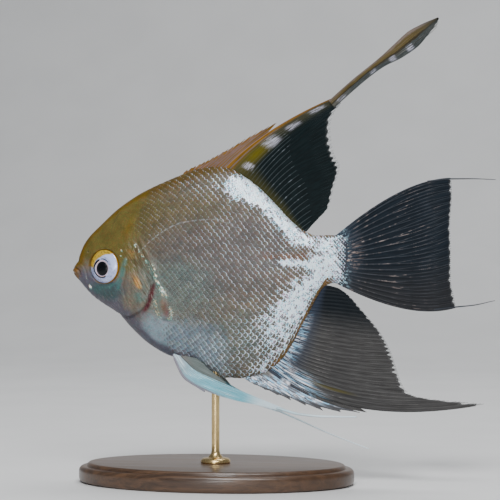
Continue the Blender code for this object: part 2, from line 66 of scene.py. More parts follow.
# ---------------------------------------------------------------- sizes, places and colours
LENGTH = 82.5  # snout to the root of the tail fin, the whole body
UNIT = (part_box("tail_stock")[1].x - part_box("head")[0].x) / LENGTH  # metres in a fish millimetre
JAW_TOP = 0.1  # the lower jaw's solid starts this far under the snout's tip
SNOUT = np.array((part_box("head")[0].x, 0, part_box("lower_jaw")[1].z + JAW_TOP * UNIT))
SIDES = (("left", -1), ("right", 1))
BODY_NODES = (
    "head", "lower_jaw", "breast", "trunk", "hind_trunk", "tail_stock",
    "gill_cover_left", "gill_cover_right", "pectoral_base_left", "pectoral_base_right",
)

# Body: outlines as (distance behind the snout, height), the same as the solids'.
BACK = (
    (0, 0.5), (0.3, 1.3), (1, 2.8), (1.6, 4.7), (2.9, 7.8), (4.8, 10.4), (7.9, 13.4), (14.3, 19.1),
    (20.6, 23.2), (29.9, 27.6), (39.3, 30.8), (44, 31.4), (48.5, 30.8), (53.2, 28.2), (58.4, 24.2),
    (63.9, 18.6), (68.4, 14), (71.5, 11.8), (75.5, 10.7), (82.5, 10.8), (84.6, 8.9),
)
BELLY = (
    (0, -1.1), (0.3, -2.1), (0.8, -2.8), (1.6, -3.6), (3.2, -5.5), (6.4, -8.6), (9.5, -10.7), (14.3, -13.8),
    (17.4, -17.2), (23.7, -22.8), (31, -26.5), (38, -27.8), (42, -30), (46, -32.3), (51.6, -32.8),
    (58.4, -31.4), (63.9, -27.6), (67.2, -23.2), (70.2, -17.5), (73, -12.4), (75.1, -8.4), (77.5, -5),
    (80, -4.1), (82.5, -4.5), (84.6, -2.6),
)
HALF_WIDTH = (
    (0, 0.9), (1, 1.9), (3, 2.7), (5.7, 3.6), (10.2, 4.9), (14.7, 6.1), (21, 7), (28, 7.3), (36, 7),
    (46, 6.1), (56, 4.9), (66, 3.6), (74, 2.6), (82.5, 1.3), (84.6, 0.3),
)
WIDEST_AT = ((0, 0.3), (10, 0), (20, 1), (30, 2), (45, 1), (60, 0), (75, 3), (84.6, 3.2))
EDGE_SHARPNESS = ((0, 0.75), (10, 0.85), (25, 1.05), (45, 1.2), (65, 1.15), (82.5, 0.9), (84.6, 0.9))
SKIN_END = 84.6
SKIN_INSET = 0.12  # how far bare skin lies inside the solids
COAT_DEPTH = 0.2  # how much deeper it lies under scales

# Lines and places on the body, in side view.
EYE = (10.4, 1.0)
EYE_RADIUS = 5.2
EYE_OUT, EYE_TOE_IN = 4.0, 21
MOUTH = ((-0.8, 0.65), (0.4, 0.6), (1.6, 0), (2.3, -1.1), (2.3, -2.6))
LIP_FOLD = ((0.9, 2.6), (2.4, 1.9), (3.8, 0.2), (4.5, -2), (4.4, -4))
NOSTRIL = (4.9, 5.4)
PREOPERCLE = ((18.2, 4.4), (17.9, 2.4), (17.3, -1.5), (16.5, -5.1), (17.5, -9.7), (17, -13))
GILL_EDGE = (
    (18.6, 9.9), (21.3, 7.8), (23.6, 3.6), (25.6, -0.6), (26, -3.6), (25.4, -6.6), (24.4, -9.6),
    (23, -11.7), (21.3, -13), (17.7, -14.3), (13.4, -13), (8.6, -9.8),
)
GILL_HINGE, GILL_STRUT = (18.4, 7.4), ((19, -5.4), (21.8, -7.4), (24, -9))
NAPE_CREASES = ((((15.6, 19), (13.4, 15.5), (12.2, 9)), 0.12), (((19, 19), (17, 14.6), (16, 9.6)), 0.08))
COAT_EDGE = (
    (22.6, 25.8), (20.6, 20), (18.2, 14), (18.4, 10.6), (21.4, 8.2), (23.6, 4.4), (25.8, 0), (26.5, -3.2),
    (26.2, -6.4), (25.4, -9.6), (25.6, -12.6), (27, -15.6), (27.4, -18.4), (28, -22), (30, -28),
)
SHOULDER = ((21.6, 9.9), (23.6, 6.2), (26, 2.4), (26.9, -0.2), (28.1, -3.8), (29.6, -6.8), (31, -8.4))
SHOULDER_LOW = SHOULDER[2:]
SHOULDER_DOTS = ((20.4, 8.2), (21.6, 6), (23, 4.2), (24.5, 2), (25.4, 0))
PECTORAL_LOBE, LOBE_RADII, LOBE_TILT = (29.7, -11.4), (2.6, 3.9), 18
LOBE_EDGE = ((31.4, -10.8), (31.9, -12.6), (31.5, -14.4), (30.6, -15))
LIP_EDGE = ((0.4, -0.6), (1.3, -1.5), (1.2, -3))
LATERAL_LINE = (
    (22.4, 5.9), (23.9, 7.2), (26.9, 9.9), (30, 12), (34.5, 14.1), (40.6, 15), (45.1, 15.2), (49.6, 13.7),
    (52.6, 12), (56, 9.4),
)
LATERAL_LINE_REAR = ((57, 2.2), (61.6, 2.1), (70.4, 2.4), (80.7, 2.4))
# Lines along which highlights are painted on the scales.
BACK_GLINT = (
    (46, 27.4), (52.7, 25.2), (58.6, 21.6), (62.6, 17.2), (66.5, 12.8), (70.2, 9.2), (76.2, 7.9), (81, 8.6),
)
STRIPE_GLINT = ((62, 2.6), (66, 2), (72, 1.7), (78, 1.8))
REAR_STRIPE = ((56, 4.4), (62, 4.2), (70, 4), (75, 4))

# Soft spots in side view: (strength, x, z, radius along, radius across, turn in degrees, softness). A
# feature's strength is its height in millimetres.
FEATURES = (
    (0.25, 0.1, -0.9, 1.2, 1.5, 0, 0.8),  # lower lip
    (0.16, 0.5, 1.5, 0.9, 0.7, 60, 0.8),  # upper lip
    (-0.12, 1.2, 2.8, 0.8, 0.5, 30, 0.8),  # fold over the upper lip
    (0.2, 12.2, -7.4, 2.8, 2.6, 20, 0.9),  # cheek
    (0.4, 33.4, -25.4, 2.6, 1, -30, 0.9),  # fold over a pelvic fin's root
    (0.35, 46.5, -32.2, 1.1, 1, 0, 0.7),  # vent
)
SPOTS = {
    "gold": ((0.5, 18.5, 13, 1.6, 5, -22, 0.9),),
    "olive": ((0.5, 38, 17, 10, 8, 20, 0.9),),
    "mauve": ((1, 44, 3, 20, 11, -8, 0.8), (0.7, 58, 10, 9, 6, -38, 0.8)),
    "green": ((1, 33, -5, 11, 8, 0, 0.9), (0.6, 50, -21, 15, 9, 12, 0.8)),
    "slate": ((1, 11.6, -6, 5, 3, -8, 0.9),),
    "teal": ((0.5, 21.6, -8.4, 2, 2, 0, 0.7), (0.35, 8, -6, 3, 1.6, -20, 0.8)),
    "brass": (
        (0.9, 21.7, -4.1, 0.8, 1.7, 30, 0.7), (0.35, 20.6, -2.6, 1.7, 3, 10, 0.8),
        (0.4, 19.4, 5, 2, 1.3, -40, 0.9), (0.4, 24.2, -4, 0.5, 2.4, 24, 0.8),
    ),
    "silver": (
        (0.75, 29.3, -6.2, 0.8, 1.6, 24, 0.7), (1, 5.5, -5.2, 0.42, 0.85, 20, 0.5),
        (0.45, 4.3, -2.7, 0.3, 0.7, 25, 0.6), (0.5, 16.4, 5.8, 0.35, 0.5, 30, 0.6),
        (0.45, 16.1, 4.2, 0.35, 0.4, 0, 0.6), (0.4, 18.2, 3, 0.3, 0.4, 0, 0.6),
        (0.5, 22.2, -5, 0.3, 0.7, 30, 0.6), (0.4, 15.8, -6, 0.5, 0.3, 0, 0.6),
    ),
    "red": ((0.42, 30.4, -12, 1.2, 2.6, 14, 0.7),),
    # Spots where highlights are painted on the scales:
    "glint": (
        (0.5, 70, -8, 3.4, 6, -26, 0.9), (0.36, 64, -17, 7, 10, -28, 0.9), (0.42, 78, 2, 4.4, 7, 0, 0.8),
        (0.3, 77, -2, 3.4, 3.4, 0, 0.8), (0.25, 46, 25, 10, 3.4, -4, 0.9), (0.2, 42, -26, 7, 5, -10, 0.9),
        (0.3, 59, -30, 5, 3, 20, 0.9),
    ),
    "rust": (
        (0.4, 70, 7, 6, 2, -20, 0.8), (0.35, 67, -3, 8, 2.4, -12, 0.8), (0.5, 30.2, -11, 1.6, 3, 14, 0.7),
    ),
    "amber": ((0.75, 0.4, -0.4, 2.1, 2.8, 0, 0.9), (0.35, 29.4, -10.4, 0.7, 1.8, 14, 0.7)),
    "bony": ((1, 22.8, -0.6, 4.4, 9.5, 20, 0.45),),
}
# Broken lines: (strength, line, half-width, number of strokes, gap).
DASHES = {
    "teal": (
        (0.75, ((17.8, 3.8), (17.3, 1), (16.4, -2.4), (14.8, -6.4)), 0.75, 3, 0.15),
        (0.7, ((24.2, 3.2), (25.8, 0), (27.4, -3.4)), 0.7, 4, 0.2),
    ),
    "silver": (
        (0.8, SHOULDER_DOTS, 0.36, 5, 0.35),
        (0.72, ((26.7, -8.6), (26.9, -10.8), (27.6, -12.8), (28.6, -14.8)), 0.8, 4, 0.15),
        (1.2, LOBE_EDGE, 0.45, 1, 0.05),
    ),
}

# Eyes: the eyeball from the middle of its pupil outwards, as (radius, height along its axis).
EYE_PROFILE = (
    (0, 1.6), (0.8, 1.55), (1.5, 1.38), (1.95, 1.14), (2.12, 1.02), (2.32, 1.1), (2.6, 1.14), (3.2, 1.03),
    (4, 0.76), (4.6, 0.46), (4.95, 0.22), (5.15, 0), (5.3, -0.3), (5.2, -1), (4, -1.9), (2, -2.3),
    (0, -2.4),
)
PUPIL, IRIS = 2.16, 5  # radii of the pupil and of the silver iris
EYE_BACK = -0.8  # the height from which the eyeball's hidden back begins
PUPIL_SHIFT = (-0.08, -0.78)  # how far back and up the pupil sits from the middle of its eye
EYE_STEPS, EYE_SEGMENTS = 72, 96

# Fins: roots and margins are (share from front to back, x, z), leans are (share, degrees), as the solids'.
# A ray leaves its root at its lean and bends after a share of its reach, the bow. The fin sways sideways by
# (millimetres, waves from front to back). Its web is worn back between rays by a share, the notch, and its
# rays fork at (share of their length, share of the space between two rays).
DORSAL_SPINES = {
    "root": ((0, 32, 27.4), (0.5, 39.5, 29.9), (1, 45.5, 30.4)),
    "margin": ((0, 34.5, 29.9), (0.25, 40.5, 32.5), (0.5, 47, 35.8), (0.75, 54.7, 40.1), (1, 62.8, 44.1)),
    "lean": ((0, 24), (1, 45)),
    "bow": 0.48,
    "rays": 18, "sway": (0, 1),
    "web": {"notch": 0.1}, "bones": {"radius": 0.2, "tip": 0.06},
}
DORSAL_RAYS = {
    "root": (
        (0, 46.2, 30.2), (0.2, 51.5, 28.2), (0.45, 57.6, 23.9), (0.7, 63.5, 18), (0.9, 68.6, 12.8),
        (1, 71.2, 11),
    ),
    "margin": (
        (0, 79.6, 51.2), (0.3, 81.3, 49.1), (0.36, 79.7, 46.9), (0.42, 78.4, 42.7), (0.55, 79.3, 35.3),
        (0.68, 81.2, 30.4), (0.8, 79.6, 24.4), (0.9, 78.2, 18.7), (0.96, 75.8, 15.8), (1, 73.4, 13.4),
    ),
    "lean": ((0, 45), (0.3, 53), (0.5, 55), (0.8, 48), (1, 38)),
    "bow": 0.45,
    "rays": 26, "sway": (0.5, 1.5),
    "web": {"notch": 0.022, "seed": 2},
    "bones": {"radius": 0.2, "tip": 0.035, "forks": ((0.5, 0.2), (0.75, 0.09)), "last": 1.025},
}
CAUDAL = {
    "root": ((0, 81, 10.2), (0.25, 81.8, 7), (0.5, 82, 3.2), (0.75, 81.8, -0.8), (1, 81.4, -3.9)),
    "margin": (
        (0, 114.8, 27.1), (0.15, 115, 22.3), (0.42, 114.5, 13.5), (0.6, 114.8, 4.6), (0.78, 114.8, -2.7),
        (0.9, 115.6, -7.5), (1, 116.2, -10.9),
    ),
    "lean": ((0, 40), (0.25, 22), (0.5, 4), (0.75, -13), (1, -27)),
    "bow": 0.68,
    "rays": 18, "sway": (0.5, 1),
    "web": {"pleat": 0.16, "notch": 0.012, "steps": 34, "seed": 4},
    "bones": {"radius": 0.27, "tip": 0.09, "forks": ((0.3, 0.24), (0.58, 0.12)), "last": 1.008},
}
ANAL_SPINES = {
    "root": ((0, 51.5, -31.8), (0.5, 56, -31.2), (1, 60, -30)),
    "margin": ((0, 54.5, -33.6), (0.25, 61, -36.5), (0.5, 69, -39.4), (0.75, 79, -41.9), (1, 90, -42.1)),
    "lean": ((0, -28), (1, -38)),
    "bow": 0.5,
    "rays": 8, "sway": (0, 1),
    "web": {"notch": 0.1, "seed": 6}, "bones": {"radius": 0.3, "tip": 0.1},
}
ANAL_RAYS = {
    "root": (
        (0, 60.8, -29.6), (0.2, 64.5, -25.8), (0.4, 67.6, -21.6), (0.6, 70.6, -15.9), (0.8, 73.4, -10.4),
        (0.93, 75.6, -6.4), (1, 77.2, -4.4),
    ),
    "margin": (
        (0, 124.6, -39.3), (0.05, 117.7, -38.7), (0.1, 109, -38), (0.15, 103.2, -36.9), (0.2, 100.4, -34.4),
        (0.32, 98.5, -29.3), (0.46, 96.8, -24), (0.62, 93.8, -18.4), (0.8, 88.4, -11.8), (0.93, 84.2, -7.2),
        (1, 81.6, -5.4),
    ),
    "lean": ((0, -38), (0.3, -25), (0.6, -12), (0.85, -2), (1, -4)),
    "bow": 0.45,
    "rays": 30, "sway": (0.4, 1),
    "web": {"pleat": 0.16, "notch": 0.02, "steps": 34, "seed": 5},
    "bones": {"radius": 0.22, "tip": 0.06, "forks": ((0.4, 0.22), (0.7, 0.1)), "last": 1.01},
}
# Ribbons: (share, x, y, z) along the middle, then (share, width) and (share, twist in degrees).
DORSAL_STREAMER = {
    "path": (
        (0, 79.4, 0, 49.4), (0.2, 87.4, 0.3, 56.3), (0.42, 94, 0.9, 61.4), (0.6, 99.4, 1.4, 65.1),
        (0.8, 105.4, 1.2, 69.8), (1, 111.2, 0.6, 74.3),
    ),
    "width": ((0, 2.5), (0.2, 2.9), (0.42, 3.4), (0.6, 4.9), (0.72, 5.4), (0.86, 3.6), (1, 0.5)),
    "twist": ((0, 0), (0.35, 28), (0.6, 10), (1, -16)),
}
STREAMER_TIPS, STREAMER_SEED = 12, 3
PELVIC = {
    "left": {
        "path": (
            (0, 31.7, -1.7, -25.2), (0.14, 37.2, -3.9, -31.3), (0.35, 43.6, -4.8, -34.4),
            (0.58, 51.5, -5.4, -37.1), (0.8, 59, -5.8, -39.2), (1, 65.8, -6.1, -41.3),
        ),
        "width": ((0, 1.5), (0.14, 4.1), (0.35, 4.1), (0.58, 3.3), (0.8, 1.9), (1, 1)),
        "twist": ((0, 28), (0.5, 14), (1, 0)),
        "filament": (
            (0, 64, -6, -40.8), (0.25, 71.2, -6.4, -42.5), (0.6, 78.8, -6.7, -43), (1, 88, -6.9, -42.9),
        ),
        "filament_radius": (0.42, 0.26),
    },
    "right": {
        "path": (
            (0, 31.7, 1.7, -25.2), (0.14, 37.2, 3.9, -31), (0.35, 43, 4.8, -34.4),
            (0.58, 49.6, 5.4, -37.7), (0.8, 55.8, 5.8, -40.1), (1, 62, 6.1, -42.5),
        ),
        "width": ((0, 1.5), (0.14, 4.1), (0.35, 4.1), (0.58, 3), (0.8, 1.7), (1, 0.9)),
        "twist": ((0, -28), (0.5, -14), (1, 0)),
        "filament": (
            (0, 60, 6, -41.7), (0.25, 67.2, 6.6, -44.8), (0.6, 77.8, 7.4, -49.4), (1, 89.4, 8, -53.7),
        ),
        "filament_radius": (0.3, 0.14),
    },
}
CAUDAL_FILAMENTS = (
    ((0, 108, 0, 26.2), (0.35, 115.3, 0, 26.9), (0.6, 120.4, 0.1, 26.9), (1, 128, 0.4, 26.6)),
    ((0, 110, 0, -11.6), (0.35, 116.7, 0, -10.7), (0.6, 121.4, 0.1, -10.2), (1, 127.8, 0.4, -8.8)),
)
PECTORAL = {
    "top": (28.9, -8.2), "bottom": (31.2, -14),
    "angles": ((0, 58), (0.25, 38), (0.5, 12), (0.75, -14), (1, -34)),
    "lengths": ((0, 12), (0.25, 17), (0.5, 18), (0.75, 15), (1, 10)),
    "out": 6.7, "swing": 15, "rays": 13,
}
JOINT = 0.62  # millimetres between the joints of a soft ray

# Skin: its mesh has HEAD_STATIONS rings up to HEAD_END, TRUNK_STATIONS behind it and ROUND steps up a side.
TABLE_STEPS, TURN_STEPS = 600, 241
HEAD_STATIONS, TRUNK_STATIONS, ROUND = 176, 214, 118
HEAD_END = 24.0
CAP_RINGS, CAP_REACH = 5, 0.35  # how the skin closes at the snout and at the tail

# Scales: their lattice is regular in (u, v), with u along the body and v across it, in scales.
SCALE_PITCH, SCALE_ROW = 1.8, 1.06  # how far apart scales of a row and neighbouring rows are, mid-body
SCALE_SHRINK = 0.42  # how much smaller they get where the body is low
SCALE_SEED = 11
SCALE_STEPS, SCALE_ROWS = 900, (-70, 70)  # steps of the lattice's table, and its lowest and highest row
SCALE_STRAY, ROW_STRAY = 0.05, 0.04  # how far a scale strays from its lattice place, in scales
SCALE_GRID = (5, 8)  # a scale's steps along and across
SCALE_LENGTH, SCALE_REACH, SCALE_ROOT = 1.42, 1.2, -0.62  # its size and where it starts, in lattice steps
SCALE_SINK, SCALE_CLEAR, SCALE_LIFT = 0.05, 0.01, 0.09  # root's depth, any tip's height, a full one's more
SCALE_ARCH, SCALE_TILT = 0.09, 0.012  # how far its sides bend down and one side hangs
SCALE_DROP = 0.12  # how much deeper the middle of its underside lies
SCALE_CREASE = math.radians(70)

# Colours: each marking's own and the most that it covers, from the lowest layer up.
SKIN_COLOURS = {
    "olive": ((0.098, 0.078, 0.014), 0.9),
    "mauve": ((0.089, 0.077, 0.073), 0.85),
    "green": ((0.095, 0.138, 0.125), 0.8),
    "blue": ((0.175, 0.24, 0.285), 0.9),
    "lilac": ((0.068, 0.066, 0.093), 0.92),
    "gold": ((0.1, 0.056, 0.0), 0.9),
    "slate": ((0.025, 0.058, 0.06), 0.85),
    "teal": ((0.03, 0.15, 0.14), 0.6),
    "rust": ((0.15, 0.065, 0.035), 0.85),
    "brass": ((0.45, 0.24, 0.06), 0.85),
    "red": ((0.065, 0.004, 0.012), 0.95),
    "amber": ((0.13, 0.065, 0.003), 0.9),
    "line": ((0.38, 0.43, 0.45), 0.6),
    "dusk": ((0.022, 0.034, 0.052), 0.88),
}
MASKS = (*SKIN_COLOURS, "silver", "glint", "bony", "arc")
SKIN_GROUND = (0.12, 0.1, 0.07)
# Painted highlights: the tints of the glints painted on scales, and the colour of the faint ones on scale
# rims.
PAINTED_GLINT_TINTS = ((0.2, 0.66, 0.86), (0.78, 0.64, 0.88))  # the tints that the mirror-like places play between
DIM_PAINTED_GLINT = (0.27, 0.3, 0.35)
SHOULDER_TINTS = ((0.16, 0.42, 0.36), (0.55, 0.42, 0.24))
STREAK_LEAN = -59.0  # which way the streaks of gill cover and shoulder run, in degrees in side view
# The iris's bright colour lies partly as a painted highlight, a lit crescent at the upper rear of the eye.
EYE_COLOURS = {
    "bright": (0.52, 0.6, 0.93), "gold": (0.55, 0.36, 0.04), "arc": (0.004, 0.004, 0.008),
    "ring": (0.72, 0.5, 0.5), "rim": (0.3, 0.15, 0.005), "pupil": (0.001, 0.002, 0.004),
}
# The dots are pale painted highlights at the rays' joints.
FIN_COLOURS = {  # web, bony rays, the dots between their joints and the fin's root
    "dorsal_spines": ((0.16, 0.075, 0.006), (0.22, 0.13, 0.08), (0.3, 0.22, 0.2), (0.15, 0.09, 0.02)),
    "dorsal_rays": ((0.003, 0.007, 0.008), (0.04, 0.05, 0.054), (0.14, 0.16, 0.18), (0.05, 0.045, 0.01)),
    "dorsal_streamer": ((0.04, 0.048, 0.05), (0.08, 0.09, 0.092), (0.2, 0.22, 0.24), (0.06, 0.06, 0.05)),
    "caudal": ((0.006, 0.01, 0.015), (0.038, 0.044, 0.054), (0.24, 0.2, 0.19), (0.03, 0.045, 0.068)),
    "anal": ((0.046, 0.045, 0.045), (0.09, 0.088, 0.085), (0.14, 0.13, 0.13), (0.07, 0.08, 0.095)),
    "anal_spines": ((0.1, 0.11, 0.125), (0.18, 0.19, 0.22), (0.5, 0.56, 0.62), (0.15, 0.14, 0.11)),
    "pelvic": ((0.14, 0.4, 0.49), (0.4, 0.62, 0.71), (0.7, 0.82, 0.86), (0.36, 0.4, 0.45)),
    "pelvic_inner": ((0.13, 0.155, 0.15), (0.14, 0.16, 0.16), (0.2, 0.22, 0.22), (0.2, 0.18, 0.17)),
}
ORANGE, LILAC, OLIVE, BAR = (0.22, 0.1, 0.004), (0.13, 0.12, 0.145), (0.095, 0.078, 0.003), (0.5, 0.5, 0.6)
# Pale bars of the dorsal fin and its streamer, as (share, half-width, along, half-length).
DORSAL_BARS = (
    (0.2, 0.05, 0.12, 0.03), (0.17, 0.07, 0.42, 0.06), (0.17, 0.05, 0.64, 0.05), (0.13, 0.05, 0.86, 0.05),
)
STREAMER_BARS = tuple((0.25, 0.16, along, 0.025) for along in (0.06, 0.33, 0.52, 0.68))

# Stand: places in millimetres. The plinth's are (in from its rim, over the floor or under its top), the
# post's are (share of its foot's radius, over the foot or under the top).
MM = 0.001
PLINTH_FOOT = ((1.2, 0), (0.3, 0.5), (0, 1.2))
PLINTH_STEPS = ((0, 2.6, 1.5, 8), (2.5, 1.1, 1.1, 6))  # quarter rounds: inset, depth, radius and steps
PLINTH_FLAT = (0.5, 0.1)  # shares of the radii at which the flat top has rings
POST_FOOT = (
    (0.3, 0), (0.96, 0), (1, 0.25), (1, 0.7), (0.95, 1.1), (0.84, 1.4), (0.62, 1.6), (0.5, 1.7),
    (0.42, 2.1), (0.32, 2.7), (0.27, 3.6), (0.267, 6),
)
POST_TOP = ((0.267, 5.2), (0.267, 2.9), (0.24, 2.5), (0.155, 2.2), (0.155, 0))
STAND_CREASE = math.radians(35)

# Camera, room and lamps, in metres, with their aims as fish points. A lamp is (name, place seen from its
# aim, size, power).
VIEW_AZIMUTH, VIEW_DISTANCE = math.radians(12), 0.6
VIEW_AIM = (54.6, 0, 6)
LENS, SENSOR = 144, 36
ROOM_HALF, ROOM_BACK, ROOM_BEND, ROOM_HEIGHT, BEND_STEPS = 3.0, 1.1, 0.5, 2.5, 12
LAMPS = (
    ("key", (0.04, -0.64, 0.66), 0.28, 7), ("front", (0.04, -0.95, 0.06), 0.22, 2.4),
    ("side", (0.36, -0.7, 0.56), 0.18, 1.8), ("top", (0.1, 0.35, 0.95), 0.6, 7),
)
LAMPS_AIM = (50, 0, 0)
SKY, SKY_STRENGTH = (0.8, 0.83, 0.86, 1), 0.28


# ---------------------------------------------------------------- curves
def through(knots, at):
    """A smooth curve through knots of (position, value) that never swings past them, read at numbers."""
    where, value = (np.array(column, float) for column in zip(*knots))
    step = np.diff(where)
    slope = np.diff(value) / step
    tangent = np.zeros(len(where))
    same_way = slope[:-1] * slope[1:] > 0
    if same_way.any():
        before, after = slope[:-1][same_way], slope[1:][same_way]
        w1 = (2 * step[1:] + step[:-1])[same_way]
        w2 = (step[1:] + 2 * step[:-1])[same_way]
        tangent[1:-1][same_way] = (w1 + w2) / (w1 / before + w2 / after)
    tangent[0], tangent[-1] = slope[0], slope[-1]
    at = np.clip(np.asarray(at, float), where[0], where[-1])
    i = np.clip(np.searchsorted(where, at, side="right") - 1, 0, len(step) - 1)
    s = (at - where[i]) / step[i]
    return (
        value[i] * (1 + 2 * s) * (1 - s) ** 2
        + tangent[i] * step[i] * s * (1 - s) ** 2
        + value[i + 1] * s * s * (3 - 2 * s)
        + tangent[i + 1] * step[i] * s * s * (s - 1)
    )


def columns(knots, at):
    """Each value of knots of (share, a, b, ...) read at shares, with a, b, ... along the last axis."""
    return np.stack([through([(k[0], k[i]) for k in knots], at) for i in range(1, len(knots[0]))], -1)


def smooth(low, high, value):
    """0 below low, 1 above high and a soft step between; low may be the larger."""
    t = np.clip((np.asarray(value, float) - low) / (high - low), 0, 1)
    return t * t * (3 - 2 * t)


def window(value, start, full, last, end):
    """1 where value is from full to last, fading to 0 at start and at end."""
    return smooth(start, full, value) * smooth(end, last, value)


def hump(value, width):
    return np.exp(-((np.asarray(value, float) / width) ** 2))


def ellipse_share(x, z, centre, radii, turn=0.0):
    """0 in the middle of an ellipse turned by degrees, and 1 at its edge."""
    angle = math.radians(turn)
    dx, dz = x - centre[0], z - centre[1]
    along = (dx * math.cos(angle) + dz * math.sin(angle)) / radii[0]
    across = (-dx * math.sin(angle) + dz * math.cos(angle)) / radii[1]
    return np.hypot(along, across)


def spot(x, z, centre, radii, turn=0.0, softness=0.5):
    """1 inside an ellipse, 0 outside, with a soft edge."""
    return smooth(1 + softness, 1 - softness, ellipse_share(x, z, centre, radii, turn))


def spots(x, z, rows):
    """The sum of many spots, given as rows like those of FEATURES and SPOTS."""
    total = np.zeros(np.shape(x))
    for strength, cx, cz, along, across, turn, softness in rows:
        total += strength * spot(x, z, (cx, cz), (along, across), turn, softness)
    return total


def to_line(points, x, z, steps=24):
    """Distance to a smooth line, positive on its left as it runs, and where along it the nearest place is,
    from 0 to 1."""
    ends = np.array(points, float)
    spread = np.linspace(0, len(ends) - 1, steps)
    knots = [(i, *p) for i, p in enumerate(ends)]
    line = columns(knots, spread)
    best = np.full(np.shape(x), 1e9)
    signed = np.zeros(np.shape(x))
    share = np.zeros(np.shape(x))
    for i, (a, b) in enumerate(zip(line, line[1:])):
        d = b - a
        t = np.clip(((x - a[0]) * d[0] + (z - a[1]) * d[1]) / (d @ d), 0, 1)
        px, pz = x - a[0] - t * d[0], z - a[1] - t * d[1]
        gap = np.hypot(px, pz)
        nearer = gap < best
        best = np.where(nearer, gap, best)
        signed = np.where(nearer, gap * np.sign(d[0] * pz - d[1] * px + 1e-12), signed)
        share = np.where(nearer, (i + t) / (len(line) - 1), share)
    return signed, share


def placed(points):
    """Fish points in millimetres as places in the frame, in metres."""
    return SNOUT + UNIT * np.asarray(points, float)


# ---------------------------------------------------------------- the body's surface
STATION_SHARES = np.linspace(0, 1, TABLE_STEPS + 1)
STATIONS = SKIN_END * STATION_SHARES**2
TOP = through([(math.sqrt(x), z) for x, z in BACK], np.sqrt(STATIONS))
LOW = through([(math.sqrt(x), z) for x, z in BELLY], np.sqrt(STATIONS))
WIDE = through(HALF_WIDTH, STATIONS)
MID = through(WIDEST_AT, STATIONS)
SHARP = through(EDGE_SHARPNESS, STATIONS)


def turn_tables():
    """The angle round each station's section for shares w of the way from its widest line to its edges,
    and the length of that way, up and down."""
    turn = np.linspace(0, math.pi / 2, TURN_STEPS)
    shares = np.linspace(0, 1, TURN_STEPS)
    tables, lengths = [], []
    for reach in (TOP - MID, MID - LOW):
        table, length = [], []
        for wide, sharp, far in zip(WIDE, SHARP, reach):
            y = wide * np.clip(np.cos(turn), 0, 1) ** sharp
            z = far * np.sin(turn)
            way = np.concatenate(([0], np.cumsum(np.hypot(np.diff(y), np.diff(z)))))
            table.append(np.interp(shares * way[-1], way, turn))
            length.append(way[-1])
        tables.append(np.array(table))
        lengths.append(np.array(length))
    return tables, lengths


(TURN_UP, TURN_DOWN), (WAY_UP, WAY_DOWN) = turn_tables()


def at_station(values, x):
    return np.interp(np.sqrt(np.clip(x, 0, SKIN_END) / SKIN_END), STATION_SHARES, values)


def surface(x, w, side):
    """Points of the body's surface, in fish millimetres. w past 1 or -1 goes on over the edge."""
    x, w, side = np.broadcast_arrays(np.asarray(x, float), np.asarray(w, float), np.asarray(side, float))
    over = np.abs(w) > 1
    side = np.where(over, -side, side)
    w = np.where(over, np.sign(w) * 2 - w, w)
    row = np.sqrt(np.clip(x, 0, SKIN_END) / SKIN_END) * TABLE_STEPS
    column = np.abs(w) * (TURN_STEPS - 1)
    i = np.clip(row.astype(int), 0, TABLE_STEPS - 1)
    j = np.clip(column.astype(int), 0, TURN_STEPS - 2)
    a, b = row - i, column - j
    turn = 0
    for table, kept in ((TURN_UP, w >= 0), (TURN_DOWN, w < 0)):
        read = (table[i, j] * (1 - a) + table[i + 1, j] * a) * (1 - b)
        read = read + (table[i, j + 1] * (1 - a) + table[i + 1, j + 1] * a) * b
        turn = turn + np.where(kept, read, 0)
    reach = np.where(w >= 0, at_station(TOP - MID, x), at_station(MID - LOW, x))
    y = side * at_station(WIDE, x) * np.clip(np.cos(turn), 0, 1) ** at_station(SHARP, x)
    z = at_station(MID, x) + reach * np.sin(turn) * np.sign(w)
    return np.stack((np.broadcast_to(x, z.shape), y, z), -1)


def outward(x, w, side):
    """Unit normals of the body's surface, pointing out."""
    dx, dw = 0.15, 0.004
    x = np.asarray(x, float)
    back, ahead = np.clip(x - dx, 0.02, None), np.clip(x + dx, None, SKIN_END)
    along = surface(ahead, w, side) - surface(back, w, side)
    across = surface(x, w + dw, side) - surface(x, w - dw, side)
    normal = np.cross(along, across)
    normal *= -np.sign(side)[..., None] if np.ndim(side) else -side
    size = np.linalg.norm(normal, axis=-1, keepdims=True)
    return normal / np.maximum(size, 1e-9)


def ripples(x, z, centre, count, wobble=0.0):
    """Fine ridges that run out from a centre, count of them in a full turn, from -1 to 1."""
    turn = np.arctan2(z - centre[1], x - centre[0])
    return np.sin(count * turn + wobble * np.sin(3 * turn + 0.4 * np.hypot(x - centre[0], z - centre[1])))


def mouth_relief(x, z):
    """The cleft, a thick lower lip, a thinner upper one, the fold of the jaw bone behind them and the
    nostril, a small pit with a raised rim."""
    gap, share = to_line(MOUTH, x, z)
    upper, lower = smooth(1, 0.75, share) * smooth(4, 2.6, x), smooth(1, 0.6, share)
    height = (0.1 * hump(gap - 0.55, 0.36) - 0.42 * hump(gap, 0.17)) * upper
    height += (0.38 * hump(gap + 0.75, 0.55) - 0.14 * hump(gap + 1.6, 0.3)) * lower
    gap, share = to_line(LIP_FOLD, x, z)
    height += window(share, 0, 0.2, 0.8, 1) * (0.12 * hump(gap + 0.55, 0.5) - 0.15 * hump(gap - 0.1, 0.22))
    away = np.hypot(x - NOSTRIL[0], z - NOSTRIL[1])
    return height + 0.07 * hump(away - 0.45, 0.2) - 0.4 * hump(away, 0.24)


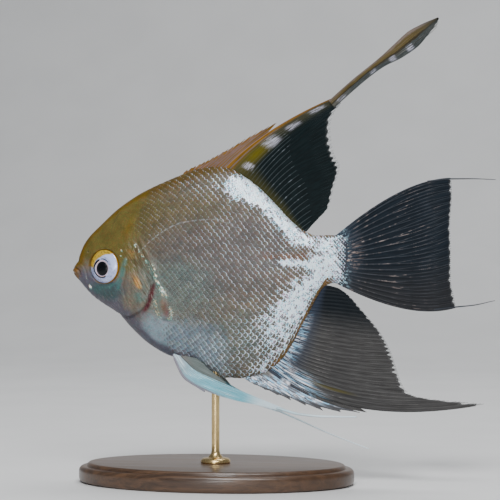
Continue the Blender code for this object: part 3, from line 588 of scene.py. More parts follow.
def eye_relief(x, z):
    """The eye's socket, with the skin drawn up softly to its edge, fine bones below it and the creases
    that run down from the nape behind it."""
    away = np.hypot(x - EYE[0], z - EYE[1]) - EYE_RADIUS
    height = 0.06 * hump(away - 0.35, 0.5) - 1.8 * smooth(0.15, -0.3, away)
    height -= 0.07 * hump(away - 1.4, 0.35) * smooth(3, -2, z)
    below = window(away, 1.2, 3.4, 5, 8) * smooth(-2, -6, z) * smooth(20, 16, x)
    height += 0.03 * ripples(x, z, EYE, 38, 1.0) * below
    for crease, depth in NAPE_CREASES:
        gap, share = to_line(crease, x, z)
        height += depth * (hump(gap - 0.35, 0.3) - hump(gap, 0.25)) * window(share, 0, 0.25, 0.75, 1)
    return height


def gill_relief(x, z):
    """The rear ridge of the cheek, then the gill cover: fine ridges that fan out over it, its free edge
    and the slit behind that."""
    gap, share = to_line(PREOPERCLE, x, z)
    ridge = 0.17 * hump(gap + 0.45, 0.42) - 0.15 * hump(gap - 0.2, 0.24) + 0.07 * hump(gap - 0.9, 0.25)
    height = ridge * window(share, 0, 0.15, 0.85, 1) * (np.abs(gap) < 3)
    gap, share = to_line(GILL_EDGE, x, z)
    fan_share = smooth(0, 0.7, -gap) * smooth(17.4, 18.6, x) * spot(x, z, (21.6, -3), (4.4, 10))
    ridges = 0.04 * ripples(x, z, GILL_HINGE, 64, 2.0) + 0.1 * hump(to_line(GILL_STRUT, x, z)[0], 0.3)
    free = 0.34 * np.exp(np.minimum(gap, 0) / 1.6) * smooth(0, -0.22, gap)
    slit = 0.4 * hump(gap - 0.14, 0.27) * smooth(0.02, 0.25, share)
    return height + ridges * fan_share + (free - slit) * window(share, 0, 0.1, 0.8, 1)


def shoulder_relief(x, z):
    """The shoulder bone behind the slit and the fleshy base of the pectoral fin, with a groove."""
    gap, share = to_line(SHOULDER, x, z)
    bone = 0.2 * hump(gap, 0.5) + 0.05 * np.sin(9 * share * math.pi) * hump(gap, 0.4)
    lobe = lobe_share(x, z)
    groove = x - PECTORAL_LOBE[0] - 0.2 * (z - PECTORAL_LOBE[1]) + 0.1
    height = bone * smooth(0, 0.15, share) - 0.1 * hump(groove, 0.35) * smooth(0.9, 0.5, lobe)
    return height + 0.95 * np.clip(1 - lobe**2, 0, 1) ** 0.6 - 0.16 * hump(lobe - 1.14, 0.1)


def relief(x, z):
    """How far the face's and flank's features stand out from the plain body, in millimetres."""
    parts = (mouth_relief, eye_relief, gill_relief, shoulder_relief)
    return spots(x, z, FEATURES) + sum(part(x, z) for part in parts)


def lobe_share(x, z):
    """0 in the middle of the pectoral fin's fleshy base and 1 at its edge."""
    return ellipse_share(x, z, PECTORAL_LOBE, LOBE_RADII, LOBE_TILT)


def scaled_share(x, z):
    """Where scales grow: 0 on bare skin, 1 under the full coat."""
    behind, _ = to_line(COAT_EDGE, x, z)
    bare_line, share = to_line(SHOULDER, x, z)
    bare = hump(bare_line, 0.8) * (share < 0.98)
    lobe = smooth(1.7, 1.15, lobe_share(x, z))
    return np.clip(smooth(-1.4, 5.4, behind) * (1 - bare) * (1 - lobe), 0, 1)


def on_skin(x, w, side, lift=0.0):
    """Points lifted off the finished skin, in fish millimetres."""
    base = surface(x, w, side)
    x, z = base[..., 0], base[..., 2]
    height = relief(x, z) - SKIN_INSET - COAT_DEPTH * scaled_share(x, z) + lift
    return base + outward(x, w, side) * height[..., None]


# ---------------------------------------------------------------- markings
def dashes(points, x, z, width, count, gap=0.35):
    """A broken line: count strokes of a half-width along a smooth line, 1 on them and 0 off them."""
    off, share = to_line(points, x, z)
    pulse = np.abs((count * share) % 1 - 0.5) * 2
    return hump(off, width) * smooth(gap - 0.2, gap + 0.2, 1 - pulse) * window(share, 0, 0.02, 0.98, 1)


def add_fields(made, x, z):
    """Gold over the snout and along the back, olive on the brow, blue and lilac below, dusk at the tail."""
    below_back, above_belly = at_station(TOP, x) - z, z - at_station(LOW, x)
    made["gold"] += smooth(3.2, 0.3, below_back) * smooth(58, 46, x)
    made["gold"] += 0.95 * smooth(6, 1.5, x) * smooth(0, 2, z)
    made["gold"] += 0.5 * smooth(8, 2, below_back) * window(x, 16, 30, 42, 50)
    made["olive"] += smooth(36, 16, x) * smooth(-1, 5, z + 0.25 * (x - 8))
    made["blue"] += window(x, 17, 25, 38, 54) * smooth(-9, -20, z + 0.1 * (x - 30))
    pale_cover = 1 - 0.85 * spot(x, z, (19.6, -8.6), (4, 4), 30, 0.8)
    made["lilac"] += smooth(1, -6, z + 0.3 * (x - 12)) * smooth(27, 17, x) * pale_cover
    made["lilac"] += 0.9 * smooth(5, 1.5, above_belly) * smooth(42, 34, x)
    made["slate"] *= smooth(-2.8, -4, z)
    # Painted highlight: low on the rear flank the whole rim of a scale is painted lit, not only its upper
    # part.
    made["arc"] += smooth(-9, -15, z) * smooth(40, 52, x)
    made["dusk"] += smooth(79, 82.8, x + 0.04 * np.abs(z - 3) ** 1.6)


def add_head_marks(made, x, z):
    """Marks round the eye, on the lips, along the gill slit and on the shoulder bone behind it."""
    eye = np.hypot(x - EYE[0], z - EYE[1]) - EYE_RADIUS
    turn = np.arctan2(z - EYE[1], x - EYE[0])  # 0 behind the eye, pi / 2 above it
    gill, share = to_line(GILL_EDGE, x, z)
    made["teal"] += 0.6 * hump(eye - 1.1, 0.6) * window(turn, -2.2, -1.2, -0.2, 0.5)
    made["silver"] += 0.75 * dashes(SHOULDER_LOW, x, z, 0.45, 7, 0.3) * smooth(-9, -8, z)
    made["silver"] += 0.4 * hump(to_line(SHOULDER_LOW, x, z)[0] + 0.5, 0.7) * window(z, -9, -7, -1, 2)
    slit = window(share, 0.33, 0.42, 0.8, 0.92) * (1 - 0.75 * smooth(0.58, 0.72, share))
    made["red"] += hump(gill - 0.55, 0.85) * slit
    made["red"] += 0.25 * hump(to_line(MOUTH, x, z)[0], 0.3) * smooth(4, 3, x)
    made["amber"] += 0.7 * hump(eye, 0.2) * smooth(-2.6, -1.9, turn)
    made["amber"] += 0.45 * hump(to_line(LIP_EDGE, x, z)[0], 0.22)
    made["bony"] *= smooth(0.4, -0.4, hump(lobe_share(x, z), 0.5) - 0.5)
    made["bony"] += 0.35 * window(x, 5, 9, 18, 28) * smooth(-3, -6, z)


def add_glints(made, x, z):
    """Where highlights are painted on the scales as glints, which are also made more mirror-like: along the
    back, under the rear stripe and more and more towards the tail. The back's ridge and the fold of skin
    along the anal fin are amber instead."""
    below_back, above_belly = at_station(TOP, x) - z, z - at_station(LOW, x)
    fin_fold = smooth(2.8, 1.4, above_belly) * window(x, 58, 63, 77, 81)
    glint, share = to_line(BACK_GLINT, x, z)
    back = hump(glint, 1.9 + 1.5 * smooth(0.55, 0.1, share)) * smooth(0, 0.14, share)
    made["glint"] += 1.25 * back * (1 - 0.85 * smooth(0.62, 0.85, share))
    made["glint"] += 0.95 * hump(to_line(STRIPE_GLINT, x, z)[0], 1) * window(x, 61, 67, 76, 80)
    made["glint"] += 0.07 + 0.12 * smooth(30, 52, x) + 0.13 * smooth(52, 66, x)
    made["glint"] *= 1 - 0.95 * fin_fold
    made["amber"] += smooth(0.85, 0.2, below_back) * smooth(46, 54, x) + fin_fold


def add_lines(made, x, z):
    """The lateral line in its two parts, and the stripe over the rear one."""
    line, share = to_line(LATERAL_LINE, x, z)
    made["line"] += 0.6 * dashes(LATERAL_LINE, x, z, 0.22, 22, 0.25) * smooth(1, 0.85, share)
    made["line"] += 0.15 * hump(line, 0.2) * window(share, 0, 0.04, 0.8, 1)
    line, share = to_line(LATERAL_LINE_REAR, x, z)
    made["line"] += 0.3 * hump(line, 0.25) * smooth(0, 0.06, share)
    made["rust"] += 0.9 * hump(to_line(REAR_STRIPE, x, z)[0], 0.8) * window(x, 55, 60, 72, 78)


def markings(x, z):
    """How much of each colour the skin carries at places in side view, as {mask: values from 0 to 1}. The
    glint and arc masks say instead where highlights are painted on the scales.
    """
    made = {mask: spots(x, z, SPOTS.get(mask, ())) for mask in MASKS}
    for mask, rows in DASHES.items():
        for strength, points, width, count, gap in rows:
            made[mask] += strength * dashes(points, x, z, width, count, gap)
    for add in (add_fields, add_head_marks, add_glints, add_lines):
        add(made, x, z)
    return {mask: np.clip(value, 0, 1) for mask, value in made.items()}


# ---------------------------------------------------------------- meshes
class Pile:
    """Points, faces, maps and per-point values of many shapes, gathered to be joined in one mesh."""

    def __init__(self):
        self.points, self.faces, self.values, self.count = [], [], {}, 0

    def add(self, points, faces, **values):
        points = np.asarray(points, float).reshape(-1, 3)
        self.points.append(points)
        self.faces.extend((np.asarray(f) + self.count).tolist() for f in faces)
        for key, value in values.items():
            whole = np.broadcast_to(np.asarray(value, float), (len(points),) + np.shape(value)[1:])
            self.values.setdefault(key, []).append(whole)
        self.count += len(points)

    def finish(self, name, look, replaces=()):
        """Makes one object of everything gathered, riding on the root body in place of the solids it
        replaces.
        """
        mesh = bpy.data.meshes.new(name)
        mesh.from_pydata(placed(np.concatenate(self.points)).tolist(), [], self.faces)
        mesh.validate()
        values = {key: np.concatenate(value) for key, value in self.values.items()}
        places = values.pop("map", None)
        for key, value in values.items():
            made = mesh.attributes.new(key, "FLOAT", "POINT")
            made.data.foreach_set("value", np.ascontiguousarray(value, np.float32))
        if places is not None:
            corner = np.empty(len(mesh.loops), np.int32)
            mesh.loops.foreach_get("vertex_index", corner)
            uv = mesh.uv_layers.new(name="OFBake")
            uv.data.foreach_set("uv", places[corner].astype(np.float32).ravel())
        mesh.shade_smooth()
        mesh.materials.append(look)
        made = bpy.data.objects.new(name, mesh)
        bpy.context.scene.collection.objects.link(made)
        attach(made, "root")
        if replaces:
            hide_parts(*replaces)
        return made


def circle(steps):
    """Evenly spaced angles once round."""
    return np.linspace(0, 2 * math.pi, steps, endpoint=False)


def grid_faces(rows, row_length, closed=False):
    """Four-sided faces between the points of a grid stored row after row."""
    columns_kept = row_length if closed else row_length - 1
    i, j = np.meshgrid(np.arange(rows - 1), np.arange(columns_kept), indexing="ij")
    k = (j + 1) % row_length
    a, b = i * row_length + j, i * row_length + k
    return np.stack((a, b, b + row_length, a + row_length), -1).reshape(-1, 4)


def facing_out(points, faces, ends=()):
    """A solid's faces, turned over if they enclose a negative volume, and then its ends as they are."""
    p = np.asarray(points, float).reshape(-1, 3)
    f = np.asarray(faces)
    volume = 0
    for i in range(1, f.shape[1] - 1):
        volume += np.einsum("ij,ij->i", p[f[:, 0]], np.cross(p[f[:, i]], p[f[:, i + 1]])).sum()
    return [face[::-1] if volume < 0 else face for face in f] + list(ends)


def ring_faces(points, rings, sides):
    """Faces of a solid whose points lie in rings stored one after another, closed at both ends."""
    first = np.arange(sides)
    ends = (first[::-1], first + (rings - 1) * sides)
    return facing_out(points, grid_faces(rings, sides, closed=True), ends)


def tube(path, radii, sides=6):
    """Points and faces of a tapered tube along a path."""
    path = np.asarray(path, float)
    ahead = np.gradient(path, axis=0)
    ahead /= np.linalg.norm(ahead, axis=1, keepdims=True)
    upward = np.cross(ahead, (0.0, 1.0, 0.0))
    upward /= np.linalg.norm(upward, axis=1, keepdims=True)
    sideways = np.cross(upward, ahead)
    turn = circle(sides)[None, :, None]
    ring = np.cos(turn) * upward[:, None] + np.sin(turn) * sideways[:, None]
    points = (path[:, None] + ring * np.broadcast_to(radii, len(path))[:, None, None]).reshape(-1, 3)
    return points, ring_faces(points, len(path), sides)


# ---------------------------------------------------------------- materials
class Look:
    """A material's node tree, built by short calls. Its colour is laid down layer over layer."""

    def __init__(self, name, group=False):
        if group:
            self.owner = bpy.data.node_groups.new(name, "ShaderNodeTree")
            self.tree = self.owner
        else:
            self.owner = bpy.data.materials.new(name)
            self.owner.use_nodes = True
            self.tree = self.owner.node_tree
            self.shader = self.tree.nodes["Principled BSDF"]

    def node(self, kind, inputs=(), **settings):
        made = self.tree.nodes.new("ShaderNode" + kind)
        for key, value in settings.items():
            setattr(made, key, value)
        for key, value in dict(inputs).items():
            self.feed(made.inputs[key], value)
        return made

    def feed(self, socket, value):
        if isinstance(value, bpy.types.NodeSocket):
            self.tree.links.new(value, socket)
        elif isinstance(value, tuple) and len(value) == 3 and socket.type == "RGBA":
            socket.default_value = (*value, 1)
        else:
            socket.default_value = value

    def math(self, operation, a, b=0.0, c=0.0):
        made = self.node("Math", operation=operation)
        for socket, value in zip(made.inputs, (a, b, c)):
            self.feed(socket, value)
        return made.outputs[0]

    def times(self, a, b):
        return self.math("MULTIPLY", a, b)

    def less(self, a, b):
        return self.math("SUBTRACT", a, b)

    def plus_times(self, a, b, c):
        """a times b, plus c."""
        return self.math("MULTIPLY_ADD", a, b, c)

    def mix(self, share, a, b, blend="MIX"):
        made = self.node("Mix", data_type="RGBA", blend_type=blend)
        for socket, value in zip((made.inputs[0], made.inputs[6], made.inputs[7]), (share, a, b)):
            self.feed(socket, value)
        return made.outputs[2]

    def cover(self, share, most, tint):
        """Lays a tint over a share of the colour, at most so much of it."""
        self.colour = self.mix(self.times(share, most), self.colour, tint)

    def shade(self, tint, share=1.0):
        """Multiplies the colour by a tint."""
        self.colour = self.mix(share, self.colour, tint, "MULTIPLY")

    def grey(self, value):
        return self.node("CombineColor", {"Red": value, "Green": value, "Blue": value}).outputs[0]

    def mask(self, name):
        return self.node("Attribute", attribute_name=name).outputs["Fac"]

    def place(self):
        return self.node("TexCoord").outputs["Object"]

    def noise(self, size, detail=3.0, roughness=0.55, stretch=(1, 1, 1), distortion=0.0, lean=0.0):
        """Noise whose blotches are size metres across, longer along an axis that stretch makes larger, with
        the axes leant by degrees in side view."""
        turned_by = (0, -math.radians(lean), 0)
        inputs = {"Vector": self.place(), "Rotation": turned_by, "Scale": stretch}
        scaled = self.node("Mapping", inputs, vector_type="TEXTURE").outputs[0]
        inputs = {"Vector": scaled, "Scale": 1 / size, "Detail": detail, "Roughness": roughness}
        return self.node("TexNoise", {**inputs, "Distortion": distortion}).outputs["Fac"]

    def patches(self, low, high, *noise, **more):
        """Noise turned into patches: 0 where it is under low, 1 where it is over high."""
        return self.ramp(self.noise(*noise, **more), low, high)

    def worn(self, value, noise, amount):
        """A value made ragged by noise, by half the amount up or down."""
        return self.plus_times(self.less(noise, 0.5), amount, value)

    def ramp(self, value, low, high, to_low=0.0, to_high=1.0):
        inputs = {"Value": value, "From Min": low, "From Max": high, "To Min": to_low, "To Max": to_high}
        return self.node("MapRange", inputs, interpolation_type="SMOOTHSTEP").outputs[0]

    def bump(self, height, depth, under=None):
        made = self.node("Bump", {"Height": height, "Strength": 1.0, "Distance": depth})
        if under is not None:
            self.feed(made.inputs["Normal"], under)
        return made.outputs[0]

    def set(self, **values):
        for key, value in values.items():
            self.feed(self.shader.inputs[key.replace("_", " ")], value)
        return self.owner


def skin_markings():
    """The node group that skin and scales share. Its outputs are the colour, the tint of the highlights
    painted on scales where they glint, how much the place glints under scales and where bare skin is
    silvery."""
    look = Look("angelfish_markings", group=True)
    for name, kind in (("Colour", "Color"), ("PaintedGlint", "Color"), ("Glint", "Float"), ("Silver", "Float")):
        look.tree.interface.new_socket(name, in_out="OUTPUT", socket_type="NodeSocket" + kind)
    wander = look.noise(0.0022, 5, 0.62)
    look.colour = SKIN_GROUND
    for mask, (tint, most) in SKIN_COLOURS.items():
        share = look.mask(mask)
        ragged = look.ramp(look.worn(share, wander, 0.7), 0.08, 0.92)
        look.cover(look.times(ragged, most), look.ramp(share, 0, 0.15), tint)
    streak = look.noise(0.00034, 3, 0.6, (9, 1, 1.5), lean=STREAK_LEAN)
    bony = look.mask("bony")
    look.cover(look.times(look.ramp(streak, 0.5, 0.34), bony), 0.7, (0.05, 0.03, 0.012))
    look.cover(look.times(look.ramp(streak, 0.52, 0.66), bony), 0.5, (0.25, 0.24, 0.2))
    shimmer = look.mix(look.patches(0.38, 0.62, 0.0007, 3, 0.6), (1.14, 0.9, 0.94), (0.86, 1.07, 1.04))
    glint = look.mask("glint")
    look.shade(shimmer, look.ramp(glint, 0.02, 0.12, 0.4, 0.9))
    look.shade(look.grey(look.ramp(look.noise(0.004, 6, 0.7), 0.25, 0.75, 0.76, 1.24)))
    chips = look.math("ADD", look.less(streak, 0.5), look.less(look.noise(0.0005, 3, 0.6), 0.5))
    silver = look.mask("silver")
    flecks = look.ramp(look.plus_times(chips, 2.6, silver), 0.3, 1.35)
    outputs = {
        "Colour": look.colour, "PaintedGlint": look.mix(look.patches(0.42, 0.58, 0.0007, 2, 0.6), *PAINTED_GLINT_TINTS),
        "Glint": glint, "Silver": look.times(flecks, look.ramp(silver, 0.04, 0.3)),
    }
    end = look.tree.nodes.new("NodeGroupOutput")
    for name, value in outputs.items():
        look.feed(end.inputs[name], value)
    return look.owner


def bare_skin_look(shared):
    look = Look("skin")
    marks = look.node("Group", node_tree=shared).outputs
    silver = marks["Silver"]
    grain = look.noise(0.00028, 3, 0.65)
    look.colour = marks["Colour"]
    look.shade(look.grey(look.ramp(grain, 0.3, 0.7, 0.82, 1.18)))
    cells = look.node("TexVoronoi", {"Vector": look.place(), "Scale": 1 / 0.0006, "Randomness": 1.0})
    look.cover(look.ramp(cells.outputs["Distance"], 0.2, 0.06), 0.22, (0.07, 0.045, 0.015))
    tint = look.mix(look.patches(0.42, 0.58, 0.0009, 2, 0.5), *SHOULDER_TINTS)
    tint = look.mix(look.ramp(silver, 0.7, 1.0), tint, (1.0, 0.98, 0.96))
    look.cover(look.ramp(silver, 0, 0.5), 0.92, tint)
    streak = look.noise(0.0003, 3, 0.6, (9, 1, 1.5), lean=STREAK_LEAN)
    folds = look.bump(look.noise(0.0016, 3, 0.5, (0.7, 1, 1.6)), 0.00004, look.bump(grain, 0.000012))
    return look.set(
        Base_Color=look.colour, Normal=look.bump(look.times(streak, look.mask("bony")), 0.00016, folds),
        Roughness=look.ramp(silver, 0, 1, 0.4, 0.25), Metallic=look.times(silver, 0.3),
        Specular_IOR_Level=0.2, Coat_Weight=0.08, Coat_Roughness=0.12,
        Subsurface_Weight=0.08, Subsurface_Scale=0.0008,
    )


def scale_look(shared):
    """A scale is skin-coloured, with painted shade darkening it towards its root, which lies under the
    scale in front, and a painted highlight along the upper part of its rim, where light from above falls.
    The more the place glints, the more of the scale is painted pale as a highlight and made mirror-like."""
    look = Look("scales")
    marks = look.node("Group", node_tree=shared).outputs
    rim, rand, up, glint = look.mask("rim"), look.mask("rand"), look.mask("up"), marks["Glint"]
    look.colour = marks["Colour"]
    look.shade(look.mix(rand, (0.77, 0.84, 0.93), (1.19, 1.13, 1.02)))
    # Painted shade: darker towards the root, where the scale lies under the one in front of it.
    look.colour = look.mix(look.ramp(rim, 0.9, 0.5, 0, 0.5), look.colour, (0.055, 0.035, 0.022))
    grit = look.less(look.noise(0.00036, 2, 0.55), 0.5)
    # How bright the painted highlight is at each place of a scale: by its rim's upper part, where light
    # from above falls, and by all of its rim where the arc mask is, by chance and by the place's own glint.
    upper = look.times(look.ramp(up, -0.35, 0.05), look.ramp(up, 0.95, 0.6))
    upper = look.math("MAXIMUM", upper, look.times(look.mask("arc"), 0.85))
    value = look.times(look.ramp(rim, 0.84, 0.95), look.plus_times(upper, 0.56, 0.3))
    value = look.plus_times(grit, look.plus_times(glint, 2.4, 0.8), value)
    value = look.plus_times(look.less(rand, 0.5), look.ramp(glint, 0.2, 0.5, 0.3, 0.7), value)
    value = look.plus_times(glint, 0.5, value)
    value = look.math("ADD", value, look.ramp(glint, 0.15, 0.95, -0.1, 0.6))
    lit = look.times(look.ramp(value, 0.6, 0.9), look.ramp(look.mask("size"), 0.2, 0.9))
    lit = look.times(lit, look.ramp(glint, 0.03, 0.16, 0.45, 1))
    bright = look.ramp(look.plus_times(rand, 0.3, glint), 0.2, 0.65)
    core = look.mix(look.ramp(value, 0.85, 1.25), marks["PaintedGlint"], (0.8, 0.93, 1.0))
    # Painted highlight: lit places are covered with pale glint colours, white at the core.
    look.cover(lit, 0.92, look.mix(bright, DIM_PAINTED_GLINT, core))
    rings = look.bump(look.noise(0.00022, 2, 0.5, (0.6, 1, 1)), 0.00002)
    return look.set(
        Base_Color=look.colour, Roughness=look.ramp(lit, 0, 1, 0.42, 0.3),
        Normal=look.bump(look.times(grit, glint), 0.0002, rings), Specular_IOR_Level=0.25,
        Metallic=look.times(lit, look.ramp(glint, 0.25, 0.8, 0, 0.5)),
        Coat_Weight=0.08, Coat_Roughness=0.15,
    )


# ---------------------------------------------------------------- skin
def map_place(x, w, side):
    """The bake map of the body: along it, and once round it from the keel of the belly."""
    around = np.where(np.asarray(side) < 0, 0.25 * (1 + w), 0.5 + 0.25 * (1 - w))
    return np.stack(np.broadcast_arrays(0.02 + 0.94 * x / SKIN_END, 0.02 + 0.94 * around), -1)


def end_rings(ring, reach):
    """Ever smaller rings that close the skin's end ring with a round cap, from the ring outwards."""
    centre = ring.mean(0)
    made = []
    for k in range(1, CAP_RINGS):
        turn = 0.5 * math.pi * k / CAP_RINGS
        moved = centre + (ring - centre) * math.cos(turn)
        moved[:, 0] += reach * math.sin(turn)
        made.append(moved)
    return np.array(made)


def build_skin(look):
    head = HEAD_END * np.linspace(0.02, 1, HEAD_STATIONS) ** 1.35
    rear = np.linspace(HEAD_END, SKIN_END - 0.02, TRUNK_STATIONS)[1:]
    up = np.linspace(-1, 1, ROUND + 1)
    x, w = np.meshgrid(np.concatenate((head, rear)), np.concatenate((up, up[-2:0:-1])), indexing="ij")
    side = np.broadcast_to(np.repeat((-1.0, 1.0), (ROUND + 1, ROUND - 1)), x.shape)
    points = on_skin(x, w, side)
    snout, tail = end_rings(points[0], -CAP_REACH), end_rings(points[-1], CAP_REACH)
    points = np.concatenate((snout[::-1], points, tail))
    base = surface(x, w, side)
    pad = ((CAP_RINGS - 1, CAP_RINGS - 1), (0, 0))
    x, z = (np.pad(base[..., axis], pad, mode="edge") for axis in (0, 2))
    rows, row_length = x.shape
    around = np.arange(row_length) / row_length
    uv = np.stack(np.broadcast_arrays(0.02 + 0.94 * x / SKIN_END, 0.02 + 0.94 * around), -1)
    shares = {mask: value.ravel() for mask, value in markings(x, z).items()}
    pile = Pile()
    pile.add(
        points, ring_faces(points, rows, row_length), covered=scaled_share(x, z).ravel(),
        map=uv.reshape(-1, 2), **shares,
    )
    return pile.finish("skin", look, BODY_NODES)


# ---------------------------------------------------------------- scales
def shrink(x):
    """A scale's size at x against a scale's size at mid-body."""
    height = at_station(TOP - LOW, np.clip(x, 6, 82))
    return (height / (TOP - LOW).max()) ** SCALE_SHRINK * (0.8 + 0.2 * smooth(20, 46, x))


LATTICE_X = np.linspace(0, SKIN_END, SCALE_STEPS)
LATTICE_U = np.concatenate(([0], np.cumsum(np.diff(LATTICE_X) / (SCALE_PITCH * shrink(LATTICE_X[1:])))))


def border(rows, width):
    """The numbers of a grid's outermost points, once round it."""
    front = list(range(width))
    right = [j * width + width - 1 for j in range(1, rows)]
    rear = [(rows - 1) * width + i for i in range(width - 2, -1, -1)]
    left = [j * width for j in range(rows - 2, 0, -1)]
    return np.array(front + right + rear + left)


def scale_template():
    """A scale's points as (along, across, rim, drop) and its faces. Along runs from its root, at 0, to 1.
    Its underside is a fan from the edge to one point, which lies deeper by drop."""
    steps_along, steps_across = SCALE_GRID
    points = []
    for j in range(steps_along + 1):
        share = j / steps_along
        for i in range(steps_across + 1):
            across = 2 * i / steps_across - 1
            reach = 0.42 + 0.58 * math.sqrt(max(0, 1 - across**2))
            points.append((share * reach, across * (0.82 + 0.18 * math.sin(math.pi * share)), share, 0))
    points.append((0.45, 0, 0.45, SCALE_DROP))
    edge = border(steps_along + 1, steps_across + 1)
    fan = np.stack((np.roll(edge, -1), edge, np.full(len(edge), len(points) - 1)), -1)
    return np.array(points), grid_faces(steps_along + 1, steps_across + 1), fan


def way_share(x, v):
    """The share w of the way round the section at v rows from the widest line."""
    way = v * SCALE_ROW * shrink(x)
    return np.where(way > 0, way / at_station(WAY_UP, x), way / at_station(WAY_DOWN, x))


def scale_places(side, rng):
    """Lattice places (u, v) of one side's scales, with each one's x, z and how far it has grown."""
    rows = np.arange(SCALE_ROWS[0], SCALE_ROWS[1] + 1)
    u, v = np.meshgrid(np.arange(4, LATTICE_U[-1] + 1), rows, indexing="ij")
    u = (u + 0.5 * (v % 2)).ravel()
    v = v.ravel().astype(float)
    u += rng.uniform(-SCALE_STRAY, SCALE_STRAY, len(u))
    v += rng.uniform(-ROW_STRAY, ROW_STRAY, len(v))
    x = np.interp(u, LATTICE_U, LATTICE_X)
    w = way_share(x, v)
    z = surface(x, np.clip(w, -1, 1), side)[:, 2]
    grown = scaled_share(x, z)
    inside = np.abs(w) < 1 - 0.25 * SCALE_ROW / at_station(WAY_UP, x)
    kept = inside & (grown > 0.08) & (x < SKIN_END - 1.2)
    return u[kept], v[kept], x[kept], z[kept], grown[kept]


def build_scales(look):
    for word, side in SIDES:
        build_side_scales(look, word, side, np.random.default_rng(SCALE_SEED + side))


def build_side_scales(look, word, side, rng):
    template, top, under = scale_template()
    along, across, share, drop = template.T
    count = len(template)
    u, v, x, z, grown = scale_places(side, rng)
    full = smooth(0, 0.85, grown)
    size = (rng.normal(1, 0.03, len(u)) * (0.5 + 0.5 * full))[:, None]
    tip = (SCALE_CLEAR + (SCALE_LIFT + 0.003 * rng.normal(size=len(u))) * full)[:, None]
    tilt = ((SCALE_TILT + rng.normal(0, 0.002, len(u))) * full)[:, None]
    px = np.interp(u[:, None] + SCALE_ROOT + along * SCALE_LENGTH * size, LATTICE_U, LATTICE_X)
    pw = way_share(px, v[:, None] + across * SCALE_REACH * size)
    rise = -SCALE_SINK + (tip + SCALE_SINK) * share**0.9 - SCALE_ARCH * across**2
    rise -= tilt * across * np.sqrt(share) + drop
    points = on_skin(px, pw, np.full(px.shape, float(side)), rise)
    masks = markings(x, z)
    line = markings(px, surface(px, np.clip(pw, -1, 1), side)[..., 2])["line"]
    rand = rng.uniform(0, 1, len(u))
    root = map_place(x, np.clip(way_share(x, v), -1, 1), side)
    uv = root[:, None] + 0.003 * np.stack((along, 0.5 * across), -1)
    turned_over = slice(None, None, -1 if side > 0 else 1)
    for part, chosen in zip(("front", "rear"), np.array_split(np.argsort(x), 2)):
        starts = (np.arange(len(chosen)) * count)[:, None, None]
        quads, fans = (top + starts).reshape(-1, 4), (under + starts).reshape(-1, 3)
        spread = {mask: np.repeat(value[chosen], count) for mask, value in masks.items()}
        spread["line"] = line[chosen].ravel()
        faces = [face[turned_over] for face in (*quads, *fans)]
        pile = Pile()
        pile.add(
            points[chosen], faces, map=uv[chosen].reshape(-1, 2), rim=np.tile(share, len(chosen)),
            up=np.tile(across, len(chosen)), rand=np.repeat(rand[chosen], count),
            size=np.repeat(full[chosen], count), **spread,
        )
        made = pile.finish(f"scales_{word}_{part}", look)
        made.data.set_sharp_from_angle(angle=SCALE_CREASE)


# ---------------------------------------------------------------- fins
def ray(fin, share, along):
    """Points (x, z) on the fin rays at shares of the fin, from 0 at their root to 1 at their tip."""
    share, along = np.broadcast_arrays(np.asarray(share, float), np.asarray(along, float))
    root, tip = columns(fin["root"], share), columns(fin["margin"], share)
    lean = np.radians(through(fin["lean"], share))
    reach = fin["bow"] * np.linalg.norm(tip - root, axis=-1)
    knee = root + reach[..., None] * np.stack((np.cos(lean), np.sin(lean)), -1)
    a = along[..., None]
    return (1 - a) ** 2 * root + 2 * a * (1 - a) * knee + a**2 * tip


def swayed(amount, waves):
    return lambda share, along: amount * along**1.5 * np.sin(2 * math.pi * waves * share)


def fan_point(fin, share, along, drift, lift=0.0):
    flat = ray(fin, share, along)
    y = drift(share, np.clip(along, 0, 1)) + lift
    return np.stack((flat[..., 0], np.broadcast_to(y, flat[..., 0].shape), flat[..., 1]), -1)


def add_sheet(pile, near, far, share, along):
    """A closed thin solid between two grids of points: web, not bone."""
    rows, width = near.shape[:2]
    count = rows * width
    faces = grid_faces(rows, width)
    rim = border(rows, width)
    following = np.roll(rim, -1)
    walls = np.stack((rim + count, following + count, following, rim), -1)
    points = np.concatenate((near.reshape(-1, 3), far.reshape(-1, 3)))
    whole = facing_out(points, np.concatenate((faces, faces[:, ::-1] + count, walls)))
    share, along = np.tile(np.ravel(share), 2), np.tile(np.ravel(along), 2)
    pile.add(points, whole, share=share, along=along, bone=0, dot=0, odd=0)


def add_ray(pile, path, radii, share, along, odd=0, sides=6):
    """One bony ray along a path, whose dot value swings between 0 and 1 from joint to joint."""
    way = np.concatenate(([0], np.cumsum(np.linalg.norm(np.diff(path, axis=0), axis=1))))
    dot = 0.5 + 0.5 * np.cos(2 * math.pi * way / JOINT)
    points, faces = tube(path, radii, sides)
    along, dot = np.repeat(along, sides), np.repeat(dot, sides)
    pile.add(points, faces, share=share, along=along, bone=1, dot=dot, odd=odd)


def pleats(rays):
    """Shares across a fin, six to a ray, and at each 0 on a ray's edge and 1 midway between."""
    share = np.linspace(0, 1, rays * 6 + 1)
    return share, 0.5 - 0.5 * np.cos(2 * math.pi * rays * share)


def membrane(pile, fin, drift, notch, pleat=0.1, steps=28, seed=1, thickness=0.14):
    """A fin's web: thin, pleated between its rays and worn back unevenly between their tips."""
    rays = fin["rays"]
    share, between = pleats(rays)
    worn = np.random.default_rng(seed).uniform(0.3, 1.7, rays + 1)[np.round(rays * share).astype(int)]
    s, a = np.meshgrid(share, np.linspace(0, 1, steps), indexing="ij")
    reach = a * (1 - notch * (worn * (1 - between))[:, None])
    waves = pleat * (0.5 - between[:, None]) * smooth(0, 0.3, a)
    half = thickness / 2 * (1 - 0.5 * a)
    near, far = (fan_point(fin, s, reach, drift, waves + lift) for lift in (-half, half))
    add_sheet(pile, near, far, s, a)


